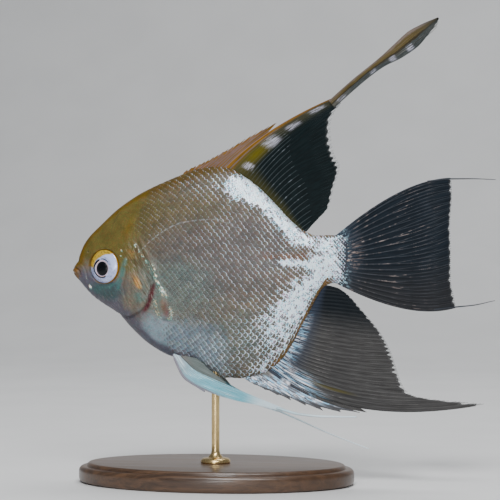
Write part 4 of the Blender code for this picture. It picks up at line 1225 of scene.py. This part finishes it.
def bridge(pile, front, rear, reach, share, rows=9, steps=30, thickness=0.12):
    """The web between the last ray of a fin's front part and the first ray of its rear part, which it
    meets as far out as reach. It takes its colours from a share of the rear part."""
    a = np.linspace(0, 1, steps)
    start = fan_point(front, np.ones(steps), a, swayed(*front["sway"]))
    end = fan_point(rear, np.zeros(steps), a * reach, swayed(*rear["sway"]))
    f = np.linspace(0, 1, rows)[:, None, None]
    middle = start * (1 - f) + end * f
    off = np.array((0, thickness / 2, 0))
    shares, along = np.full((rows, steps), share), np.tile(a * reach, (rows, 1))
    add_sheet(pile, middle - off, middle + off, shares, along)
    for k in (0.33, 0.66):
        add_ray(pile, start * (1 - k) + end * k, 0.16 - 0.08 * a, share, a * reach, round(k))


def fin_rays(pile, fin, drift, radius, tip, forks=(), last=1.02, steps=44):
    """A fin's bony rays, each with all the branches that its forks make."""
    rays = fin["rays"]
    for k in range(rays):
        middle = (k + 0.5) / rays
        for branch in range(2 ** len(forks)):
            signs = [1 if branch >> level & 1 else -1 for level in range(len(forks))]
            # A branch starts at the last fork at which it turns off.
            starts = [at - 0.02 for sign, (at, _) in zip(signs, forks) if sign > 0]
            along = np.linspace(max(starts, default=0), last, steps)
            off = sum(sign * gap * smooth(at, at + 0.35, along) for sign, (at, gap) in zip(signs, forks))
            share = np.clip(middle + off / rays, 0, 1)
            width = tip + (radius - tip) * (1 - along / last) ** 0.8
            if forks:
                width = width * (1 - 0.25 * smooth(forks[0][0], forks[0][0] + 0.1, along))
            add_ray(pile, fan_point(fin, share, along, drift), width, middle, along, k % 2)


def fan(pile, fin):
    """A fin's web and its rays."""
    drift = swayed(*fin["sway"])
    membrane(pile, fin, drift, **fin["web"])
    fin_rays(pile, fin, drift, **fin["bones"])


def ribbon_point(strip, share, across, lift=0.0):
    """Points at shares along a ribbon's middle and from -1 to 1 across it."""
    share, across = np.broadcast_arrays(np.asarray(share, float), np.asarray(across, float))
    path = strip["path"]
    middle = columns(path, share)
    ahead = columns(path, np.clip(share + 0.01, 0, 1)) - columns(path, np.clip(share - 0.01, 0, 1))
    sideways = np.stack((-ahead[..., 2], 0 * ahead[..., 0], ahead[..., 0]), -1)
    sideways /= np.linalg.norm(sideways, axis=-1, keepdims=True)
    twist = np.radians(through(strip["twist"], share))[..., None]
    over = np.array((0.0, 1.0, 0.0))
    reach = sideways * np.cos(twist) + over * np.sin(twist)
    proud = over * np.cos(twist) - sideways * np.sin(twist)
    half = through(strip["width"], share)[..., None] / 2
    return middle + reach * half * across[..., None] + proud * np.asarray(lift)[..., None]


def ribbon(pile, strip, rays, steps, radius, thickness=0.16, pleat=0.12):
    """A pleated ribbon with a ray along each pleat."""
    share, between = pleats(rays)
    along = np.linspace(0, 1, steps)
    s, c = np.meshgrid(along, 2 * share - 1, indexing="ij")
    waves = pleat * (between - 0.5) + 0 * s
    near, far = (ribbon_point(strip, s, c, waves + lift) for lift in (-thickness / 2, thickness / 2))
    add_sheet(pile, near, far, (c + 1) / 2, s)
    for k in range(rays + 1):
        path = ribbon_point(strip, along, 0.97 * (2 * k / rays - 1))
        add_ray(pile, path, radius * (1 - 0.65 * along), k / rays, along, k % 2)


class FinLook(Look):
    """A fin's material: a web between jointed rays, in colours that each fin adds its own markings to."""

    def __init__(self, name, clear=(1, 0.985), shine=0.0, fibres=90):
        super().__init__(name + "_look")
        self.share, self.along, self.bone = self.mask("share"), self.mask("along"), self.mask("bone")
        self.odd, self.cloud = self.mask("odd"), self.noise(0.003, 4, 0.6)
        self.clear, self.shine = clear, shine
        web, bone, dots, roots = FIN_COLOURS[name]
        pale, dark = tuple(c * 1.3 for c in web), tuple(c * 0.72 for c in web)
        web = self.mix(self.fibres(fibres, 5, 0.35, 0.65), dark, pale)
        # Painted highlights: pale dots at the rays' joints, fading out towards the tips; they are also
        # metallic where the fin has shine.
        dotted = self.times(self.ramp(self.mask("dot"), 0.5, 0.9), self.fibres(40, 4, 0.5, 0.64))
        self.lit = self.times(dotted, self.ramp(self.along, 1.0, 0.5))
        bones = self.mix(self.ramp(self.cloud, 0.35, 0.65), bone, tuple(c * 0.65 for c in bone))
        self.colour = self.mix(self.bone, web, self.mix(self.lit, bones, dots))
        self.cover(self.ramp(self.along, 0.2, 0.0), 0.7, roots)

    def fibre(self, across, lengthwise):
        """Noise drawn out along the rays: this many blotches across the whole fin and along a ray."""
        places = {"X": self.times(self.share, across), "Y": self.times(self.along, lengthwise)}
        spread = self.node("CombineXYZ", places).outputs[0]
        inputs = {"Vector": spread, "Scale": 1.0, "Detail": 3.0, "Roughness": 0.6}
        return self.node("TexNoise", inputs).outputs["Fac"]

    def fibres(self, across, lengthwise, low, high):
        """Fibre noise turned into streaks: 0 where it is at low, 1 where it is at high."""
        return self.ramp(self.fibre(across, lengthwise), low, high)

    def band(self, value, centre, width, softness=0.5):
        """1 where a value is within width of centre, softly."""
        off = self.math("ABSOLUTE", self.less(value, centre))
        return self.ramp(off, width * (1 + softness), width * (1 - softness))

    def patch(self, share, share_width, along, along_width, softness=0.6):
        across = self.band(self.share, share, share_width, softness)
        return self.times(across, self.band(self.along, along, along_width, softness))

    def bars(self, places, across=120):
        """Pale patches made of short strokes along the rays."""
        for place in places:
            self.cover(self.times(self.patch(*place), self.fibres(across, 8, 0.42, 0.58)), 0.85, BAR)

    def gold_and_lilac(self, strength):
        """Gold and lilac rays by turns over gold web, as the front of the dorsal fin has."""
        web = self.mix(self.fibres(50, 4, 0.35, 0.65), (0.1, 0.05, 0.004), (0.24, 0.12, 0.02))
        self.cover(self.times(strength, self.less(1, self.bone)), 0.95, web)
        self.cover(self.times(strength, self.times(self.bone, self.odd)), 0.9, LILAC)
        even = self.times(self.bone, self.less(1, self.odd))
        self.cover(self.times(strength, even), 0.9, ORANGE)

    # Painted highlights: pale blue-white streaks along the rays, standing for glints.
    def painted_glint_streaks(self, strength, across, low=0.46, high=0.58):
        tint = self.mix(self.fibres(40, 6, 0.42, 0.58), (0.3, 0.6, 0.85), (0.85, 0.84, 0.9))
        self.cover(self.times(strength, self.fibres(across, 7, low, high)), 0.95, tint)

    def done(self):
        ends = self.ramp(self.along, 1, 0.97, 0.6, 1)
        clear = self.times(self.ramp(self.along, 0.2, 1.0, *self.clear), ends)
        return self.set(
            Base_Color=self.colour, Alpha=self.math("MAXIMUM", self.bone, clear),
            Normal=self.bump(self.fibre(90, 8), 0.00006),
            Roughness=self.ramp(self.cloud, 0.2, 0.8, 0.4, 0.5),
            Metallic=self.times(self.lit, self.shine), Specular_IOR_Level=0.06,
        )


def dorsal_spines_look():
    look = FinLook("dorsal_spines")
    look.gold_and_lilac(look.ramp(look.cloud, 0.1, 0.4, 0.7, 1))
    look.cover(look.fibres(30, 3, 0.5, 0.62), 0.6, (0.22, 0.15, 0.17))
    return look.done()


def dorsal_rays_look():
    look = FinLook("dorsal_rays")
    look.cover(look.ramp(look.share, 0.3, 0.1), 0.5, (0.07, 0.065, 0.035))
    edge = look.ramp(look.plus_times(look.along, 0.045, look.share), 0.12, 0.05)
    look.gold_and_lilac(edge)
    look.cover(look.times(edge, look.ramp(look.share, 0.016, 0.004)), 0.8, (0.24, 0.17, 0.17))
    look.cover(look.patch(0.16, 0.07, 0.25, 0.14, 0.9), 0.92, OLIVE)
    look.bars(DORSAL_BARS)
    return look.done()


def dorsal_streamer_look():
    look = FinLook("dorsal_streamer", fibres=30)
    ragged = look.worn(look.share, look.noise(0.004, 3, 0.6), 0.25)
    look.cover(look.ramp(ragged, 0.4, 0.48), 0.9, (0.03, 0.022, 0.008))
    look.cover(look.ramp(ragged, 0.52, 0.6), 0.85, (0.11, 0.08, 0.03))
    look.cover(look.ramp(ragged, 0.8, 0.88), 0.85, (0.17, 0.135, 0.12))
    look.cover(look.fibres(26, 3, 0.5, 0.6), 0.6, (0.035, 0.03, 0.02))
    look.cover(look.fibres(34, 2.5, 0.58, 0.66), 0.4, (0.24, 0.22, 0.18))
    look.bars(STREAMER_BARS, across=40)
    look.cover(look.ramp(look.along, 0.75, 0.98), 0.5, (0.07, 0.075, 0.07))
    return look.done()


def build_dorsal():
    pile = Pile()
    fan(pile, DORSAL_SPINES)
    pile.finish("dorsal_fin_front", dorsal_spines_look(), ["dorsal_fin_spines"])
    pile = Pile()
    fan(pile, DORSAL_RAYS)
    bridge(pile, DORSAL_SPINES, DORSAL_RAYS, 0.48, 0.02)
    pile.finish("dorsal_fin_rear", dorsal_rays_look(), ["dorsal_fin_rays"])
    pile = Pile()
    ribbon(pile, DORSAL_STREAMER, rays=12, steps=80, radius=0.13)
    add_worn_tips(pile, np.random.default_rng(STREAMER_SEED))
    pile.finish("dorsal_fin_trail", dorsal_streamer_look(), ["dorsal_fin_streamer"])


def add_worn_tips(pile, rng, steps=14):
    """Ray tips that stand free of the web at the streamer's worn end."""
    length = np.linspace(0, 1, steps)[:, None]
    for _ in range(STREAMER_TIPS):
        start, across = rng.uniform(0.72, 0.93), rng.uniform(-0.95, -0.1)
        along = np.linspace(start, 1, steps)
        path = ribbon_point(DORSAL_STREAMER, along, across)
        spread = (4.5, 0.6 * rng.normal(), -1.5 * rng.uniform(0.4, 1.8))
        path = path * (1 - 0.25 * length) + 0.25 * length * path[:1] + (along - start)[:, None] * spread
        add_ray(pile, path, (0.11 - 0.08 * length)[:, 0], 0.2, along)


def caudal_look():
    look = FinLook("caudal", shine=0.3, fibres=110)
    look.cover(look.ramp(look.share, 0.5, 0.95), 0.45, (0.028, 0.025, 0.024))
    cool = look.times(look.ramp(look.along, 0.1, 0.01), look.fibres(60, 30, 0.5, 0.6))
    look.cover(cool, 0.8, (0.4, 0.6, 0.7))
    warm = look.times(look.ramp(look.along, 0.2, 0.03), look.fibres(70, 12, 0.52, 0.62))
    look.cover(look.times(warm, look.band(look.share, 0.42, 0.2)), 0.7, (0.5, 0.36, 0.3))
    return look.done()


def build_caudal():
    pile = Pile()
    fan(pile, CAUDAL)
    along = np.linspace(0, 1, 44)
    for share in (0.0, 1.0):
        edge = fan_point(CAUDAL, share, along, swayed(*CAUDAL["sway"]))
        add_ray(pile, edge, 0.3 - 0.16 * along, share, along, sides=8)
    along = np.linspace(0, 1, 40)
    for path in CAUDAL_FILAMENTS:
        add_ray(pile, columns(path, along), 0.26 - 0.18 * along, 0, 0.6 + 0.3 * along, sides=8)
    nodes = ["caudal_fin", "caudal_filament_top", "caudal_filament_bottom"]
    pile.finish("tail_fin", caudal_look(), nodes)


def anal_look():
    look = FinLook("anal", fibres=120)
    look.cover(look.ramp(look.share, 0.5, 0.82), 0.95, (0.004, 0.007, 0.01))
    look.cover(look.ramp(look.along, 0.3, 0.08), 0.6, (0.03, 0.04, 0.065))
    root, front = look.ramp(look.along, 0.16, 0.02), look.ramp(look.along, 0.4, 0.16)
    look.painted_glint_streaks(look.times(root, look.ramp(look.share, 0.8, 0.45)), 150)
    look.painted_glint_streaks(look.times(front, look.ramp(look.share, 0.2, 0.06)), 150)
    look.cover(look.patch(0.1, 0.012, 0.42, 0.12), 0.5, (0.09, 0.075, 0.01))
    return look.done()


def anal_spines_look():
    look = FinLook("anal_spines", shine=0.4, fibres=40)
    bright = look.times(look.ramp(look.along, 0.02, 0.15), look.ramp(look.along, 0.85, 0.65))
    look.painted_glint_streaks(bright, 34, 0.44, 0.52)
    look.cover(look.ramp(look.along, 0.78, 0.95), 0.8, (0.06, 0.058, 0.06))
    return look.done()


def build_anal():
    pile = Pile()
    fan(pile, ANAL_RAYS)
    bridge(pile, ANAL_SPINES, ANAL_RAYS, 0.5, 0.03)
    pile.finish("anal_fin_rear", anal_look(), ["anal_fin_rays", "anal_fin_streamer"])
    pile = Pile()
    fan(pile, ANAL_SPINES)
    pile.finish("anal_fin_front", anal_spines_look(), ["anal_fin_spines"])


def pelvic_look():
    look = FinLook("pelvic", (1, 1), fibres=36)
    look.cover(look.fibres(34, 3, 0.56, 0.66), 0.7, (0.75, 0.88, 0.92))
    look.cover(look.fibres(30, 3, 0.42, 0.34), 0.5, (0.03, 0.09, 0.12))
    lower_root = look.times(look.ramp(look.share, 0.16, 0.05), look.ramp(look.along, 0.55, 0.35))
    look.cover(lower_root, 0.85, (0.2, 0.17, 0.21))
    look.cover(look.ramp(look.along, 0.62, 0.85), 0.85, (0.74, 0.83, 0.88))
    return look.done()


def add_pelvic_fin(pile, strip):
    """The fin's blade, its long filament and the spine along its lower front edge."""
    ribbon(pile, strip, rays=9, steps=50, radius=0.17)
    along = np.linspace(0, 1, 60)
    thick, thin = strip["filament_radius"]
    radii = thick + (thin - thick) * along
    add_ray(pile, columns(strip["filament"], along), radii, 0.5, 0.7 + 0.2 * along, sides=10)
    at = np.linspace(0.02, 0.32, 40)
    spine = ribbon_point(strip, at, -1.0)
    spine[:, 2] -= 0.4 * smooth(0.22, 0.32, at)
    add_ray(pile, spine, 0.34 - 0.5 * np.maximum(at - 0.1, 0), 0.04, at, sides=8)


def add_pelvic_web(pile, strip, side):
    """The clear web from the fin's upper edge in to the belly."""
    share, across = np.meshgrid(np.linspace(0.03, 0.5, 30), np.linspace(0, 1, 16), indexing="ij")
    outer = ribbon_point(strip, share, 0.9)
    belly = surface(33.5 + 20 * share, np.full(share.shape, -0.93), side) + np.array((0, 0, 0.15))
    across = across * (0.98 - 0.55 * smooth(0.25, 0.5, share))
    middle = outer * (1 - across[..., None]) + belly * across[..., None]
    middle[..., 1] += 0.5 * np.sin(math.pi * across) * side
    off = np.array((0, 0.05, 0))
    add_sheet(pile, middle - off, middle + off, across, share)


def build_pelvics():
    look, web_look = pelvic_look(), FinLook("pelvic_inner", (0.9, 0.7), fibres=30).done()
    for word, side in SIDES:
        pile = Pile()
        add_pelvic_fin(pile, PELVIC[word])
        pile.finish(f"pelvic_{word}", look, [f"pelvic_fin_{word}", f"pelvic_filament_{word}"])
        pile = Pile()
        add_pelvic_web(pile, PELVIC[word], side)
        pile.finish(f"pelvic_web_{word}", web_look, [f"pelvic_fin_{word}"])


def pectoral_look():
    look = Look("pectoral_look")
    bone, along = look.mask("bone"), look.mask("along")
    colour = look.mix(bone, (0.2, 0.21, 0.2), (0.26, 0.27, 0.26))
    alpha = look.plus_times(bone, 0.05, look.ramp(along, 0, 1, 0.08, 0.02))
    return look.set(Base_Color=colour, Alpha=alpha, Roughness=look.ramp(look.noise(0.001), 0, 1, 0.3, 0.5))


def pectoral_point(side, share, along, lift=0.0):
    """Points of a pectoral fin, which fans out from a line on its base and swings away from the body."""
    top, low = np.array(PECTORAL["top"]), np.array(PECTORAL["bottom"])
    start = top + (low - top) * share[..., None]
    angle = np.radians(through(PECTORAL["angles"], share))
    length = through(PECTORAL["lengths"], share)
    flat = start + (along * length)[..., None] * np.stack((np.cos(angle), np.sin(angle)), -1)
    swing = math.tan(math.radians(PECTORAL["swing"]))
    out = PECTORAL["out"] + swing * (flat[..., 0] - start[..., 0]) + 0.5 * along
    return np.stack((flat[..., 0], side * (out + lift), flat[..., 1]), -1)


def build_pectorals():
    look, rays = pectoral_look(), PECTORAL["rays"]
    share, between = pleats(rays)
    s, a = np.meshgrid(share, np.linspace(0, 1, 22), indexing="ij")
    reach = a * (1 - 0.03 * (1 - between[:, None]))
    waves = 0.08 * (0.5 - between[:, None]) * a
    for word, side in SIDES:
        pile = Pile()
        near, far = (pectoral_point(side, s, reach, waves + lift) for lift in (-0.05, 0.05))
        add_sheet(pile, near, far, s, a)
        for k in range(rays):
            for sign, start in ((-1, 0), (1, 0.4)):
                along = np.linspace(start, 1.01, 30)
                at = (k + 0.5 + sign * 0.2 * smooth(0.45, 0.8, along)) / rays
                add_ray(pile, pectoral_point(side, at, along), 0.1 - 0.06 * along, 0.5, along)
        pile.finish(f"pectoral_{word}", look, [f"pectoral_fin_{word}"])


# ---------------------------------------------------------------- eyes
def turned_eye():
    """The eyeball's points and faces, turned from its profile, with each point's radius and height."""
    knots = [(i, *p) for i, p in enumerate(EYE_PROFILE)]
    inner = columns(knots, np.linspace(0, len(EYE_PROFILE) - 1, EYE_STEPS))[1:-1]
    middles = ((0, EYE_PROFILE[0][1]), (0, EYE_PROFILE[-1][1]))
    radius, height = np.concatenate((np.repeat(inner, EYE_SEGMENTS, axis=0), middles)).T
    angle = np.append(np.tile(circle(EYE_SEGMENTS), len(inner)), (0, 0))
    points = np.stack((radius * np.cos(angle), radius * np.sin(angle), height), -1)
    first = np.arange(EYE_SEGMENTS)
    ends = []
    for ring, centre in ((first, -2), (first[::-1] + (len(inner) - 1) * EYE_SEGMENTS, -1)):
        middle = np.full(EYE_SEGMENTS, len(points) + centre)
        ends.extend(np.stack((middle, np.roll(ring, -1), ring), -1))
    walls = grid_faces(len(inner), EYE_SEGMENTS, closed=True)
    return points, facing_out(points, walls, ends), radius, height


def eye_matrix(side):
    """From an eye's own frame (+Z out of it, +Y up) to the fish's."""
    toe = math.radians(EYE_TOE_IN)
    out = Vector((-math.sin(toe), side * math.cos(toe), 0))
    up = Vector((0, 0, 1))
    turn = Matrix((up.cross(out), up, out)).transposed().to_4x4()
    return np.array(Matrix.Translation((EYE[0], side * EYE_OUT, EYE[1])) @ turn)


def eyeball_look():
    look = Look("eyeball")
    streaks, blots = look.noise(0.0006, 4, 0.65), look.noise(0.00035, 3, 0.6)
    look.colour = look.mix(look.ramp(streaks, 0.35, 0.65), (0.28, 0.33, 0.6), (0.5, 0.56, 0.8))
    # Painted shade: dark blotches over the lower front of the iris.
    look.cover(look.times(look.ramp(blots, 0.5, 0.62), look.mask("shade_speckles")), 0.7, (0.1, 0.13, 0.17))
    for mask, tint in EYE_COLOURS.items():
        share = look.ramp(look.worn(look.mask(mask), blots, 0.55), 0.25, 0.7)
        look.colour = look.mix(share, look.colour, tint)
    look.cover(look.times(look.ramp(streaks, 0.48, 0.38), look.mask("gold")), 0.7, (0.1, 0.07, 0.002))
    clear = look.less(1, look.mask("pupil"))
    return look.set(
        Base_Color=look.colour, Roughness=look.ramp(streaks, 0.2, 0.8, 0.26, 0.36),
        Metallic=look.times(clear, 0.25), Normal=look.bump(look.noise(0.0004, 3, 0.6), 0.00003),
        Specular_IOR_Level=0.15, Coat_Weight=look.plus_times(clear, 0.3, 0.12), Coat_Roughness=0.03,
    )


def eye_masks(radius, height, up, back):
    """An eyeball's markings, with painted light: the bright mask's crescent at the upper rear is a painted
    highlight and the dark speckles over the lower front are painted shade. up and back go from -1 to 1
    round the eye.
    """
    ahead, level = np.clip(-back, 0, 1), np.clip(1 - np.abs(up), 0, 1)
    lower_front = smooth(0.3, -0.1, back + 0.5 * up)
    upper_rear = smooth(0.45, 0.75, up) * smooth(-0.6, 0.2, back)
    crescent = smooth(2.9, 3.7, radius - 1.5 * np.clip(back + 0.25, 0, 1))
    return {
        "pupil": smooth(PUPIL + 0.1, PUPIL - 0.1, radius),
        "ring": hump(radius - PUPIL - 0.2, 0.14),
        "arc": (
            1.2 * hump(radius - 2.7 - 0.4 * ahead * level, 0.3) * lower_front
            + 0.8 * hump(radius - 2.85, 0.16) * upper_rear
        ),
        "bright": (
            0.95 * hump(radius - 4.1, 0.75) * smooth(0.0, 0.75, back + 0.5 * up) * smooth(-0.5, 0.1, up)
            + 0.8 * hump(radius - 2.6, 0.2) * smooth(0, -0.5, up)
            + 0.8 * hump(radius - 4.5, 0.3) * smooth(0.1, -0.5, back)
        ),
        "gold": smooth(0.25, 0.75, up - 0.5 * back) * crescent,
        "shade_speckles": smooth(0.2, -0.5, back + 0.3 * up) * window(radius, 2.4, 2.8, 4, 4.9),
        "rim": smooth(IRIS - 0.1, IRIS + 0.12, radius) * (height > EYE_BACK) * smooth(-1.05, -0.7, back),
    }


def build_eyes():
    look = eyeball_look()
    for word, side in SIDES:
        matrix = eye_matrix(side)
        points, faces, radius, height = turned_eye()
        away = np.maximum(radius, 1e-6)
        back, up = points[:, 0] / away * np.sign(matrix[0, 0]), points[:, 1] / away
        inside = np.where(height > EYE_BACK, np.clip(1 - (radius / IRIS) ** 2, 0, 1), 0)
        points[:, 0] -= inside * PUPIL_SHIFT[0] * side
        points[:, 1] += inside * PUPIL_SHIFT[1]
        pile = Pile()
        pile.add(points @ matrix[:3, :3].T + matrix[:3, 3], faces, **eye_masks(radius, height, up, back))
        pile.finish(f"eyeball_{word}", look, [f"eye_{word}"])


# ---------------------------------------------------------------- stand
def wood_look():
    look = Look("dark_wood")
    grain = look.noise(0.0016, 5, 0.65, (22, 1, 1), 0.6)
    pores = look.noise(0.0004, 2, 0.5, (30, 1, 1))
    warp = look.noise(0.03, 3, 0.5, (4, 1, 1))
    colour = look.mix(look.ramp(grain, 0.3, 0.7), (0.032, 0.017, 0.01), (0.1, 0.052, 0.026))
    colour = look.mix(look.ramp(warp, 0.35, 0.7, 0, 0.5), colour, (0.07, 0.034, 0.016))
    colour = look.mix(look.ramp(pores, 0.62, 0.75, 0, 0.6), colour, (0.012, 0.007, 0.004))
    rough = look.ramp(grain, 0.2, 0.8, 0.3, 0.45)
    bumps = look.bump(pores, 0.00004, look.bump(grain, 0.00003))
    return look.set(Base_Color=colour, Roughness=rough, Normal=bumps, Coat_Weight=0.25, Coat_Roughness=0.18)


def brass_look():
    look = Look("satin_brass")
    brushed = look.noise(0.0004, 3, 0.6, (1, 1, 24))
    colour = look.mix(look.patches(0.35, 0.75, 0.004, 4, 0.6), (0.72, 0.53, 0.25), (0.5, 0.35, 0.15))
    rough = look.ramp(brushed, 0.3, 0.7, 0.2, 0.34)
    return look.set(Base_Color=colour, Metallic=1.0, Roughness=rough, Normal=look.bump(brushed, 0.000006))


def middle_and_radii(low, high):
    return ((low.x + high.x) / 2, (low.y + high.y) / 2), ((high.x - low.x) / 2, (high.y - low.y) / 2)


def add_turned(name, profile, centre, radii, look, nodes, segments):
    """A turned solid in frame metres: profile is (share of the radii, height in metres)."""
    (x, y), (wide, deep) = centre, radii
    points = [
        (x + share * wide * math.cos(turn), y + share * deep * math.sin(turn), height)
        for share, height in profile for turn in circle(segments)
    ]
    pile = Pile()
    pile.add((np.array(points) - SNOUT) / UNIT, ring_faces(points, len(profile), segments))
    made = pile.finish(name, look, nodes)
    made.data.set_sharp_from_angle(angle=STAND_CREASE)


def plinth_profile(low, high, radius):
    """The oval base from its underside to its top: a rounded step all round and a flat top."""
    edge = [(1 - inset * MM / radius, low + height * MM) for inset, height in PLINTH_FOOT]
    for inset, depth, size, steps in PLINTH_STEPS:
        for turn in np.linspace(0, math.pi / 2, steps + 1):
            inwards, up = inset + size * (1 - math.cos(turn)), size * math.sin(turn)
            edge.append((1 - inwards * MM / radius, high - (depth - up) * MM))
    return edge + [(share, high) for share in PLINTH_FLAT]


def build_stand():
    low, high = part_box("stand_base")
    centre, radii = middle_and_radii(low, high)
    profile = plinth_profile(low.z, high.z, radii[0])
    add_turned("stand_plinth", profile, centre, radii, wood_look(), ["stand_base"], 128)
    foot = high.z + 0.02 * MM
    low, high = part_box("stand_rod")
    centre, radii = middle_and_radii(low, high)
    top = high.z - 0.2 * MM
    profile = [(share, foot + height * MM) for share, height in POST_FOOT]
    profile += [(share, top - depth * MM) for share, depth in POST_TOP]
    radii = (radii[0], radii[0])
    add_turned("stand_post", profile, centre, radii, brass_look(), ["stand_rod"], 64)


# ---------------------------------------------------------------- camera, floor and lights
def build_view():
    camera = bpy.data.objects.new("camera", bpy.data.cameras.new("camera"))
    bpy.context.scene.collection.objects.link(camera)
    camera.data.lens, camera.data.sensor_width = LENS, SENSOR
    camera.data.clip_start, camera.data.clip_end = 0.01, 20
    away = np.array((math.sin(VIEW_AZIMUTH), -math.cos(VIEW_AZIMUTH), 0))
    camera.location = placed(VIEW_AIM) + VIEW_DISTANCE * away
    camera.rotation_euler = (math.pi / 2, 0, VIEW_AZIMUTH)
    bpy.context.scene.camera = camera


def build_lamps():
    aim = Vector(placed(LAMPS_AIM))
    for name, offset, size, power in LAMPS:
        lamp = bpy.data.lights.new(name, "AREA")
        lamp.shape, lamp.size, lamp.energy = "DISK", size, power
        made = bpy.data.objects.new(name, lamp)
        bpy.context.scene.collection.objects.link(made)
        made.location = aim + Vector(offset)
        made.rotation_euler = (-Vector(offset)).to_track_quat("-Z", "Y").to_euler()


def build_floor():
    look = Look("floor")
    colour = look.mix(look.patches(0.3, 0.7, 0.05, 3, 0.5), (0.66, 0.665, 0.67), (0.69, 0.695, 0.7))
    look.set(Base_Color=colour, Roughness=0.6)
    rows = [(-ROOM_HALF, 0.0), (0, 0.0), (ROOM_BACK - ROOM_BEND, 0.0)]
    for k in range(1, BEND_STEPS + 1):
        angle = 0.5 * math.pi * k / BEND_STEPS
        y = ROOM_BACK - ROOM_BEND * (1 - math.sin(angle))
        rows.append((y, ROOM_BEND * (1 - math.cos(angle))))
    rows.append((ROOM_BACK, ROOM_HEIGHT))
    points = [(x, y, z) for y, z in rows for x in (-ROOM_HALF, ROOM_HALF)]
    mesh = bpy.data.meshes.new("floor")
    mesh.from_pydata(points, [], grid_faces(len(rows), 2).tolist())
    mesh.shade_smooth()
    mesh.materials.append(look.owner)
    floor = bpy.data.objects.new("floor", mesh)
    bpy.context.scene.collection.objects.link(floor)
    floor.location.z = CAD_LOW.z


def build_sky():
    world = bpy.data.worlds.new("studio")
    world.use_nodes = True
    background = world.node_tree.nodes["Background"]
    background.inputs[0].default_value, background.inputs[1].default_value = SKY, SKY_STRENGTH
    bpy.context.scene.world = world


# ---------------------------------------------------------------- the model
build_view()
build_floor()
build_lamps()
build_sky()
markings_group = skin_markings()
build_skin(bare_skin_look(markings_group))
build_scales(scale_look(markings_group))
build_eyes()
build_dorsal()
build_caudal()
build_anal()
build_pelvics()
build_pectorals()
build_stand()
